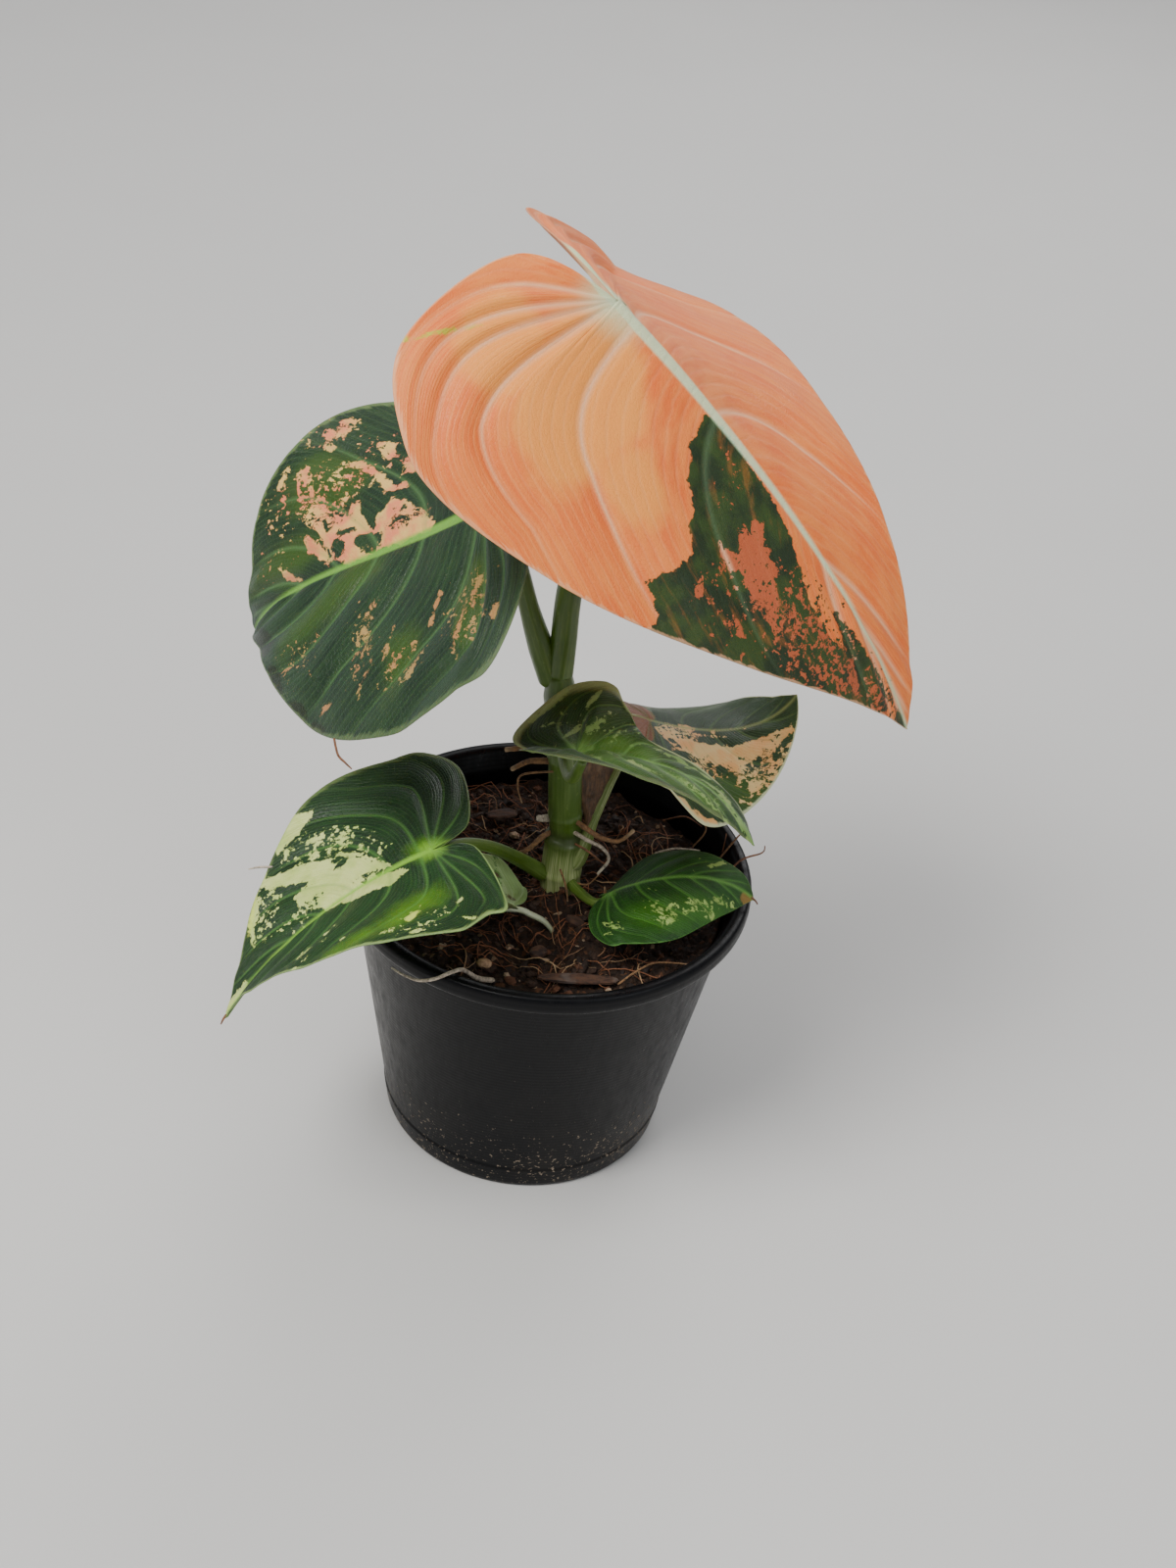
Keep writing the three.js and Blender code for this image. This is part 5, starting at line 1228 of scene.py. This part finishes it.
# Straws and rootlets that lie in clear view: line, radius and finish.
WISPS = [
    ([(22, -38.9, 77), (27, -34, 78.5), (32, -29.1, 77.6), (42, -27.6, 77)], 0.3, "cork"),
    ([(28.6, 14.1, 79), (34, 15.5, 80.4), (41, 17.9, 79)], 0.3, "pale"),
    ([(16.2, -1.7, 78), (16.6, -6, 79.4), (16.8, -11, 78)], 0.3, "cork"),
    ([(46.2, 27.8, 78), (47.6, 22, 82.6), (46.9, 16.9, 80)], 0.3, "wiry"),
    ([(44, 12, 77), (50, 18, 84.2), (53, 22.5, 85)], 0.28, "cork"),
    ([(45.5, 4, 77), (51, 8, 84.4), (57, 12, 85.2), (58, 17, 84)], 0.26, "wiry"),
    ([(0, -3, 114.5), (-8.2, -4, 113), (-9.3, -4, 109), (-7.7, -4, 103.8)], 0.3, "cork"),
    ([(6, -3, 92.6), (10.4, -5, 91.9), (15.4, -5, 88.1)], 0.3, "wiry"),
    ([(7, -4, 80.5), (11.4, -6.5, 81.9), (14.3, -7, 86.3)], 0.25, "cork"),
    ([(4, -6.5, 86), (6, -7.2, 81), (7, -8.5, 77)], 0.3, "cork"),
    ([(39, 21, 77.5), (42, 24, 82), (38, 30, 84)], 0.25, "cork"),
    ([(30, 28, 80), (36, 27, 83), (41, 26, 81)], 0.22, "wiry"),
    ([(-52.5, -34, 138.6), (-51.1, -36.2, 135.5), (-49.2, -37.2, 134.2), (-47.4, -38, 133.1)], 0.3, "wiry"),
    ([(-67.5, -27, 91.6), (-71.1, -27.2, 91.2), (-73.9, -27.7, 90.5)], 0.3, "pale"),
    ([(16.8, -11, 76), (16.4, -10, 80), (16.1, -9.2, 84)], 0.3, "cork"),
]
# The dry sheath's edges beside the stem and beside the stalk, and half the thickness of its skin.
SHEATH_STEM_EDGE = [(9, 0.4, 96.5), (7.4, 0.6, 104), (6.6, 1, 111), (6.1, 1.6, 117)]
SHEATH_STALK_EDGE = [(10.6, 0.6, 96.5), (13, 3.8, 103.5), (15.2, 7, 109), (17.4, 10.4, 113.5)]
SHEATH_HALF_SKIN = 0.12


def stem_swell(line, steps, sides, rings=()):
    """How the radius swells along a stem and round it: a bell at each ring's height, and seven
    shallow ribs that run with the stem."""
    z = smooth_line(line, np.linspace(0, 1, steps))[:, 2]
    a = round_angles(sides)
    bells = sum(out * bell(z - height, width) for height, width, out in rings)
    ribs = 0.018 * np.cos(7 * a) + 0.01 * np.cos(3 * a + 1)
    return 1 + (np.zeros(steps) + bells)[:, None] + ribs[None]


def stalk_end(leaf, radius):
    """Where a stalk meets its blade: the foot of the midrib, under the blade by its own radius."""
    u = np.array([STALK_MEETS])
    middle, normal = lift_blade(leaf, u, 0 * u)
    return tuple(middle[0] - (radius + STALK_GAP) * normal[0])


def stem_finish(name, green, pale, foot=False, pallor=0.35):
    """Smooth plant skin: streaks along the stem and pale freckles. With a foot it is paler low down
    and has a dark ring where the lowest leaf grew."""
    f = Finish(name, Subsurface_Weight=0.15, Subsurface_Scale=0.003, Subsurface_Radius=(0.8, 1.0, 0.3))
    way = f.read("way", "Vector")
    place = f.place()
    streak = f.noise(f.stretch(way, (60, 26, 1)), 1.0, 5, 0.6)
    freckle = f.noise(f.stretch(place, (1, 1, 0.5)), 1100, 4, 0.6)
    shade = f.rise(f.noise(place, 60, 3), 0.45, 0.7, (0.0, 0.5))
    colour = f.mix(f.rise(streak, 0.42, 0.75, (0.0, pallor)), green, pale)
    colour = f.mix(shade, colour, shaded(green, 0.45))
    colour = f.mix(f.rise(freckle, 0.62, 0.7, (0.0, 0.35)), colour, pale)
    if foot:
        z = f.split(place)[2]
        low = f.rise(f.times(streak, 0.012, z), (PALE_FOOT + 14) * MM, (PALE_FOOT + 3) * MM)
        stripes = f.noise(f.stretch(way, (40, 90, 1)), 1.0, 3)
        foot_tone = f.mix(f.rise(stripes, 0.4, 0.62), (0.2, 0.27, 0.07), (0.52, 0.56, 0.28))
        colour = f.mix(f.times(low, 0.85), colour, foot_tone)
        off_ring = f.math("ABSOLUTE", f.math("SUBTRACT", z, DARK_RING * MM))
        colour = f.mix(f.times(f.rise(off_ring, 0.0035, 0.0005), 0.75), colour, (0.035, 0.05, 0.012))
    height = f.times(streak, 1.0, f.times(freckle, 0.25))
    return f.wear(colour, f.spread(streak, 0.3, 0.48), f.bump(height, 0.0004, 0.5))


def root_finish(name, colour, tip):
    """Corky root skin: brown scales over tan, darker in rings, with a tip of its own colour."""
    f = Finish(name)
    way = f.read("way", "Vector")
    scale = f.noise(f.place(), 1000, 5, 0.7)
    bands = f.noise(f.stretch(way, (900, 2, 1)), 1.0, 3)
    mixed = f.mix(f.rise(scale, 0.35, 0.65), shaded(colour, 0.45), colour)
    mixed = f.mix(f.rise(bands, 0.52, 0.62, (0.0, 0.4)), mixed, (0.05, 0.025, 0.014))
    mixed = f.mix(f.rise(f.split(way)[2], 0.8, 1.0, (0.0, 0.7)), mixed, tip)
    bump = f.bump(f.math("ADD", scale, bands), 0.0004, 0.8)
    return f.wear(mixed, f.spread(scale, 0.65, 0.92), bump)


def put_sheath():
    """The dry sheath: a sheet ruled between two smooth edges, bulging forward by a half sine and
    crumpled by small lumps, with a torn top edge, and a skin on both sides of it."""
    rows, columns = 60, 30
    share, over = np.meshgrid(np.linspace(0, 1, rows), np.linspace(0, 1, columns), indexing="ij")
    torn = 0.5 + 0.5 * lattice_noise(over * 9, 0 * over, 1, 31)
    stop = share * (1 - 0.1 * torn * share**6)
    start, end = smooth_line(SHEATH_STEM_EDGE, stop), smooth_line(SHEATH_STALK_EDGE, stop)
    sheet = start + (end - start) * over[..., None]
    crumple = 0.35 * lattice_noise(share * 14, over * 5, 1, 32)
    crumple = crumple + 0.2 * lattice_noise(share * 40, over * 12, 1, 33)
    sheet[..., 1] += (crumple - 1.2) * np.sin(np.pi * over)
    normal = unit(np.cross(np.gradient(sheet, axis=1), np.gradient(sheet, axis=0)))
    points = np.concatenate([sheet + SHEATH_HALF_SKIN * normal, sheet - SHEATH_HALF_SKIN * normal])
    inner = grid_faces(rows, columns)
    n = rows * columns
    index = np.arange(n).reshape(rows, columns)
    border = np.concatenate([index[0, :-1], index[:-1, -1], index[-1, :0:-1], index[:0:-1, 0]])
    after = np.roll(border, -1)
    walls = np.stack([border, after, after + n, border + n], -1)
    faces = np.concatenate([inner[:, ::-1], inner + n, walls])
    face_outwards(put_surface("sheath_skin", points, faces, slot="sheath_papery",
                              replaces=["dry_sheath"], materials=[sheath_finish()]))


def sheath_finish():
    """Dry paper of a leaf sheath: brown fibres that run up it, with lighter places."""
    f = Finish("papery_sheath")
    place = f.place()
    fibre = f.noise(f.stretch(place, (1, 1, 0.14)), 1500, 5, 0.65)
    colour = f.mix(f.rise(fibre, 0.35, 0.65), (0.05, 0.028, 0.014), (0.17, 0.09, 0.045))
    lighter = f.rise(f.noise(place, 230, 4), 0.55, 0.7, (0.0, 0.6))
    colour = f.mix(lighter, colour, (0.27, 0.17, 0.09))
    return f.wear(colour, f.spread(fibre, 0.45, 0.75), f.bump(fibre, 0.0004, 0.9))


def tip_thread(leaf):
    """The dried thread at a blade's tip: on along the midrib's last slope, hanging a little."""
    u = np.array([leaf["length"] - 2.0, leaf["length"] - 0.4])
    (start, tip), _ = lift_blade(leaf, u, 0 * u)
    ahead = (tip - start) / np.linalg.norm(tip - start)
    return [tuple(tip - 0.6 * ahead), tuple(tip + 0.9 * ahead), tuple(tip + 1.9 * ahead - (0, 0, 0.5))]


# Bark and pebble

# Size of each bark chip, and its turn about Z in degrees.
CHIPS = {
    "bark_long": ((22, 4, 1.6), 6), "bark_grey": ((5, 4, 2.5), 35),
    "bark_near_stem": ((6, 3.5, 2), -30), "bark_right": ((7, 4, 2), 60),
    "bark_back": ((9, 5, 2), 20), "bark_back_right": ((6, 5, 2), -50),
}
# The less this power is than one, the more a chip fills its box.
CHIP_POWER = 0.55


def ball_rings(sides, rows):
    """A ball of radius one as rings from its lowest to its highest place:
    (cos b cos a, cos b sin a, sin b)."""
    a, b = np.meshgrid(round_angles(sides), np.linspace(-np.pi / 2, np.pi / 2, rows))
    return np.stack([np.cos(b) * np.cos(a), np.cos(b) * np.sin(a), np.sin(b)], -1)


def put_chip(node, finish, seed):
    """A bark chip in the middle of its node's box: a ball whose places are pushed towards a box's
    sides by a power, thinner at its ends, split along its grain by ridges, and chipped by lumps."""
    low, high = (np.array(corner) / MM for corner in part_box(node))
    size, turn = CHIPS[node]
    ball = ball_rings(56, 30)
    x, y, z = np.moveaxis(np.sign(ball) * np.abs(ball) ** CHIP_POWER, -1, 0)
    ridges = lattice_noise(x * 1.2 + seed, y * 5 + z * 2, 1, seed)
    grow = 0.93 + 0.05 * lattice_noise(x * 4, y * 3 + z * 3 + seed, 1, seed + 50)
    taper = 1 - 0.3 * np.abs(x)
    chip = np.stack([x * grow, y * taper * (grow + 0.06 * ridges), z * taper * (grow + 0.1 * ridges)], -1)
    chip = (chip * size / 2) @ turns_about_z(math.radians(turn)).T
    put_rings(node + "_chip", chip + (low + high) / 2, slot="bark_chip", replaces=[node],
              materials=[finish])


def bark_finish():
    """Weathered bark: dark and red-brown streaks along the grain with grey worn ridges."""
    f = Finish("weathered_bark")
    place = f.place()
    streak = f.noise(f.stretch(place, (0.35, 1, 1)), 700, 6, 0.7)
    colour = f.mix(f.rise(streak, 0.35, 0.65), (0.025, 0.013, 0.009), (0.11, 0.052, 0.03))
    colour = f.mix(f.rise(f.noise(place, 160, 3), 0.55, 0.7, (0.0, 0.45)), colour, (0.17, 0.14, 0.12))
    return f.wear(colour, f.spread(streak, 0.7, 0.95), f.bump(streak, 0.0008, 0.9))


def put_pebble():
    """The pebble: a ball stretched to its node's box with two gentle lumps."""
    low, high = (np.array(corner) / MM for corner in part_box("pebble"))
    ball = ball_rings(48, 26)
    lumps = 0.96 + 0.05 * np.sin(3 * ball[..., 0] + 2) * np.cos(2 * ball[..., 1])
    points = ball * lumps[..., None] * (high - low) / 2 + (low + high) / 2
    f = Finish("tan_pebble")
    grit = f.noise(f.place(), 1300, 5, 0.6)
    colour = f.mix(f.rise(grit, 0.35, 0.65), (0.3, 0.17, 0.09), (0.52, 0.34, 0.2))
    stone = f.wear(colour, f.spread(grit, 0.45, 0.75), f.bump(grit, 0.0003, 0.6))
    put_rings("pebble_stone", points, slot="pebble_grit", replaces=["pebble"], materials=[stone])


# Operators


class CLIMBER_OT_pot(bpy.types.Operator):
    """Make the nursery pot"""
    bl_idname = "climber.pot"
    bl_label = "Pot"

    def execute(self, context):
        put_pot(context.scene.climber_pot)
        return {"FINISHED"}


class CLIMBER_OT_soil(bpy.types.Operator):
    """Make the potting mix with its crumbs, fibres, bark chips and pebble"""
    bl_idname = "climber.soil"
    bl_label = "Potting Mix"

    def execute(self, context):
        settings = context.scene.climber_soil
        put_soil_bed(settings)
        put_crumbs(settings)
        put_fibres(settings)
        bark = bark_finish()
        for seed, node in enumerate(CHIPS, 1):
            put_chip(node, bark, seed)
        put_pebble()
        return {"FINISHED"}


class CLIMBER_OT_stem(bpy.types.Operator):
    """Make the main stem and the leaf stalks"""
    bl_idname = "climber.stem"
    bl_label = "Stem and Stalks"

    def execute(self, context):
        settings = context.scene.climber_stem
        green, pale = settings.green, settings.pale
        steps, sides = ((220, 64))
        put_tube("stem_skin", STEM_LINE, STEM_RADII, steps, sides, across=(0, 1, 0),
                 swell=stem_swell(STEM_LINE, steps, sides, STEM_RINGS), slot="stem_skin",
                 replaces=["main_stem"], materials=[stem_finish("stem_green", green, pale, foot=True)])
        stalk_green = stem_finish("stalk_green", shaded(green, 1.1), pale, pallor=0.5)
        halfway = tuple((g + p) / 2 for g, p in zip(green, pale))
        finishes = {"small": stem_finish("stalk_cream", (0.5, 0.55, 0.36), (0.66, 0.68, 0.5)),
                    "right": stem_finish("stalk_striped", halfway, (0.5, 0.54, 0.28), pallor=0.8)}
        for name, stalk in STALKS.items():
            line = [*stalk["line"], stalk_end(LEAVES[name], stalk["radii"][-1])]
            put_tube(name + "_stalk", line, stalk["radii"], 90, 32, swell=stem_swell(line, 90, 32),
                     across=stalk.get("across", (0, 1, 0)), slot=stalk.get("slot", "stalk_skin"),
                     replaces=[name + "_leaf_stalk"], materials=[finishes.get(name, stalk_green)])
        return {"FINISHED"}


class CLIMBER_OT_leaves(bpy.types.Operator):
    """Make the seven leaf blades"""
    bl_idname = "climber.leaves"
    bl_label = "Leaf Blades"

    def execute(self, context):
        for name, leaf in LEAVES.items():
            materials = [blade_finish(name, leaf, underside) for underside in (False, True)]
            put_blade(name, leaf, context.scene.climber_leaves, materials)
        return {"FINISHED"}


class CLIMBER_OT_roots(bpy.types.Operator):
    """Make the aerial roots, the strand over the rim, the rootlets and the dry sheath"""
    bl_idname = "climber.roots"
    bl_label = "Aerial Roots"

    def execute(self, context):
        finishes = {
            "cork": root_finish("root_cork", context.scene.climber_stem.root, (0.5, 0.36, 0.22)),
            "pale": root_finish("pale_rootlet", (0.62, 0.52, 0.4), (0.66, 0.58, 0.46)),
            "wiry": root_finish("wiry_root", (0.3, 0.13, 0.06), (0.2, 0.08, 0.04))}
        for index, (name, (line, radius)) in enumerate(ROOTS.items()):
            radii = np.linspace(radius, radius * (1 - ROOT_THINNING), len(line))
            lumps = lattice_noise(np.arange(70)[:, None] / 3, 2 * np.sin(round_angles(14)), 1, 60 + index)
            kind = "pale" if name in ("root_loop", "root_stub") else "cork"
            put_tube(name + "_cork", line, radii, 70, 14, swell=1 + 0.1 * lumps, slot="aerial_root",
                     replaces=[name], materials=[finishes[kind]])
        put_tube("rim_strand", RIM_STRAND, RIM_STRAND_RADII, 120, 12, slot="pale_strand",
                 replaces=["rim_root_strand"], materials=[finishes["pale"]])
        for number, (line, radius, kind) in enumerate(WISPS, 1):
            put_tube(f"rootlet_{number}", line, [radius, radius, 0.5 * radius], 40, 8,
                     slot="aerial_root", materials=[finishes[kind]])
        put_sheath()
        for name in ("low_left", "low_right"):
            put_tube(name + "_tip_thread", tip_thread(LEAVES[name]), [0.32, 0.26, 0.16], 24, 8,
                     slot="sheath_papery", materials=[finishes["wiry"]])
        return {"FINISHED"}


class CLIMBER_OT_stage(bpy.types.Operator):
    """Make the floor, the lights and the camera"""
    bl_idname = "climber.stage"
    bl_label = "Stage"

    def execute(self, context):
        settings = context.scene.climber_stage
        add_floor(settings)
        add_lights(context.scene)
        add_camera(context.scene, settings)
        return {"FINISHED"}


# Stage

# Radii of the floor's rings and its height, just under the pot, in millimetres.
FLOOR_RADII, FLOOR_HEIGHT = (0, 1500, 6000), -0.05
# Area lights, in metres: name, place, diameter, power and tint. They shine towards the plant.
LIGHTS = [("key", (-0.55, -0.5, 1.15), 0.7, 17.0, (1, 0.985, 0.96)),
          ("fill", (0.9, -0.7, 0.7), 0.9, 4.0, (0.94, 0.97, 1)),
          ("back", (0.3, 1.0, 0.9), 0.8, 6.0, (1, 1, 1))]
LIGHTS_AIM, CAMERA_AIM = (0, 0, 0.13), (0.0085, 0, 0.1096)


def add_floor(settings):
    """A wide round floor just under the pot, plain and pale."""
    f = Finish("plain_floor", Roughness=0.75)
    tint = f.spread(f.noise(f.place(), 9, 2))
    f.feed(f.shader, {"Base_Color": f.mix(tint, shaded(settings.floor, 0.985), settings.floor)})
    rings = lathe([(radius, FLOOR_HEIGHT) for radius in FLOOR_RADII], 64)
    put_rings("floor", rings, flip=True, body=None, materials=[f.material])


def put_light(scene, name, kind, matrix, **settings):
    """A light of some kind at the place and turn of a matrix."""
    data = bpy.data.lights.new(name, kind)
    for key, value in settings.items():
        setattr(data, key, value)
    light = bpy.data.objects.new(name, data)
    scene.collection.objects.link(light)
    light.matrix_world = matrix


def add_lights(scene):
    """A large soft key above and to the front left, a fill from the right, a light from behind, a
    broad soft light from above that reaches the whole floor, and an even pale sky."""
    for name, place, size, power, tint in LIGHTS:
        matrix = look_from(place, np.subtract(LIGHTS_AIM, place), (0, 0, 1))
        put_light(scene, name, "AREA", matrix, shape="DISK", size=size, energy=power, color=tint)
    matrix = look_from((-0.3, -0.2, 1.5), (0.2, 0.13, -1), (0, 1, 0))
    put_light(scene, "above", "SUN", matrix, energy=0.75, angle=math.radians(70))
    world = bpy.data.worlds.new("studio")
    world.use_nodes = True
    sky = world.node_tree.nodes["Background"]
    sky.inputs["Color"].default_value = (0.93, 0.95, 1, 1)
    sky.inputs["Strength"].default_value = 0.32
    scene.world = world


def look_from(place, forward, up):
    """The matrix of a camera or light at a place that looks along forward, with up towards its top."""
    forward = unit(np.asarray(forward, float))
    right = unit(np.cross(forward, up))
    top = np.cross(right, forward)
    matrix = np.eye(4)
    matrix[:3, 0], matrix[:3, 1], matrix[:3, 2], matrix[:3, 3] = right, top, -forward, place
    return Matrix(matrix.tolist())


def add_camera(scene, settings):
    """The camera at the height, tilt and lean from which the plant is seen in full."""
    pitch, roll = settings.pitch, settings.roll
    forward = np.array((0, math.cos(pitch), -math.sin(pitch)))
    level_up = np.cross((1, 0, 0), forward)
    up = level_up * math.cos(roll) - np.array((1, 0, 0)) * math.sin(roll)
    data = bpy.data.cameras.new("camera")
    data.lens, data.sensor_width, data.clip_start = settings.lens, 36, 0.01
    camera = bpy.data.objects.new("camera", data)
    scene.collection.objects.link(camera)
    camera.matrix_world = look_from(CAMERA_AIM - settings.distance * forward, forward, up)
    scene.camera = camera


# Panel and start

STEPS = (CLIMBER_OT_pot, CLIMBER_OT_soil, CLIMBER_OT_stem, CLIMBER_OT_leaves, CLIMBER_OT_roots,
         CLIMBER_OT_stage)
SETTINGS = {"climber_pot": PotSettings, "climber_soil": SoilSettings, "climber_stem": StemSettings,
            "climber_leaves": LeafSettings, "climber_stage": StageSettings}


class CLIMBER_PT_panel(bpy.types.Panel):
    """Lists the steps that build the plant"""
    bl_idname = "CLIMBER_PT_panel"
    bl_label = "Heart-Leaf Climber"
    bl_space_type = "VIEW_3D"
    bl_region_type = "UI"
    bl_category = "Climber"

    def draw(self, context):
        for step in STEPS:
            self.layout.operator(step.bl_idname)
        for group in SETTINGS:
            box = self.layout.box()
            for key in SETTINGS[group].__annotations__:
                box.prop(getattr(context.scene, group), key)


def register():
    """Registers the settings, the operators and the panel."""
    for group, settings in SETTINGS.items():
        bpy.utils.register_class(settings)
        setattr(bpy.types.Scene, group, bpy.props.PointerProperty(type=settings))
    for cls in (*STEPS, CLIMBER_PT_panel):
        bpy.utils.register_class(cls)


def unregister():
    """Takes back what register made, in the opposite order."""
    for cls in (CLIMBER_PT_panel, *reversed(STEPS)):
        bpy.utils.unregister_class(cls)
    for group, settings in SETTINGS.items():
        delattr(bpy.types.Scene, group)
        bpy.utils.unregister_class(settings)


def main():
    register()
    bpy.ops.climber.stage()
    bpy.ops.climber.pot()
    bpy.ops.climber.soil()
    bpy.ops.climber.stem()
    bpy.ops.climber.leaves()
    bpy.ops.climber.roots()


if __name__ == "__main__":
    main()
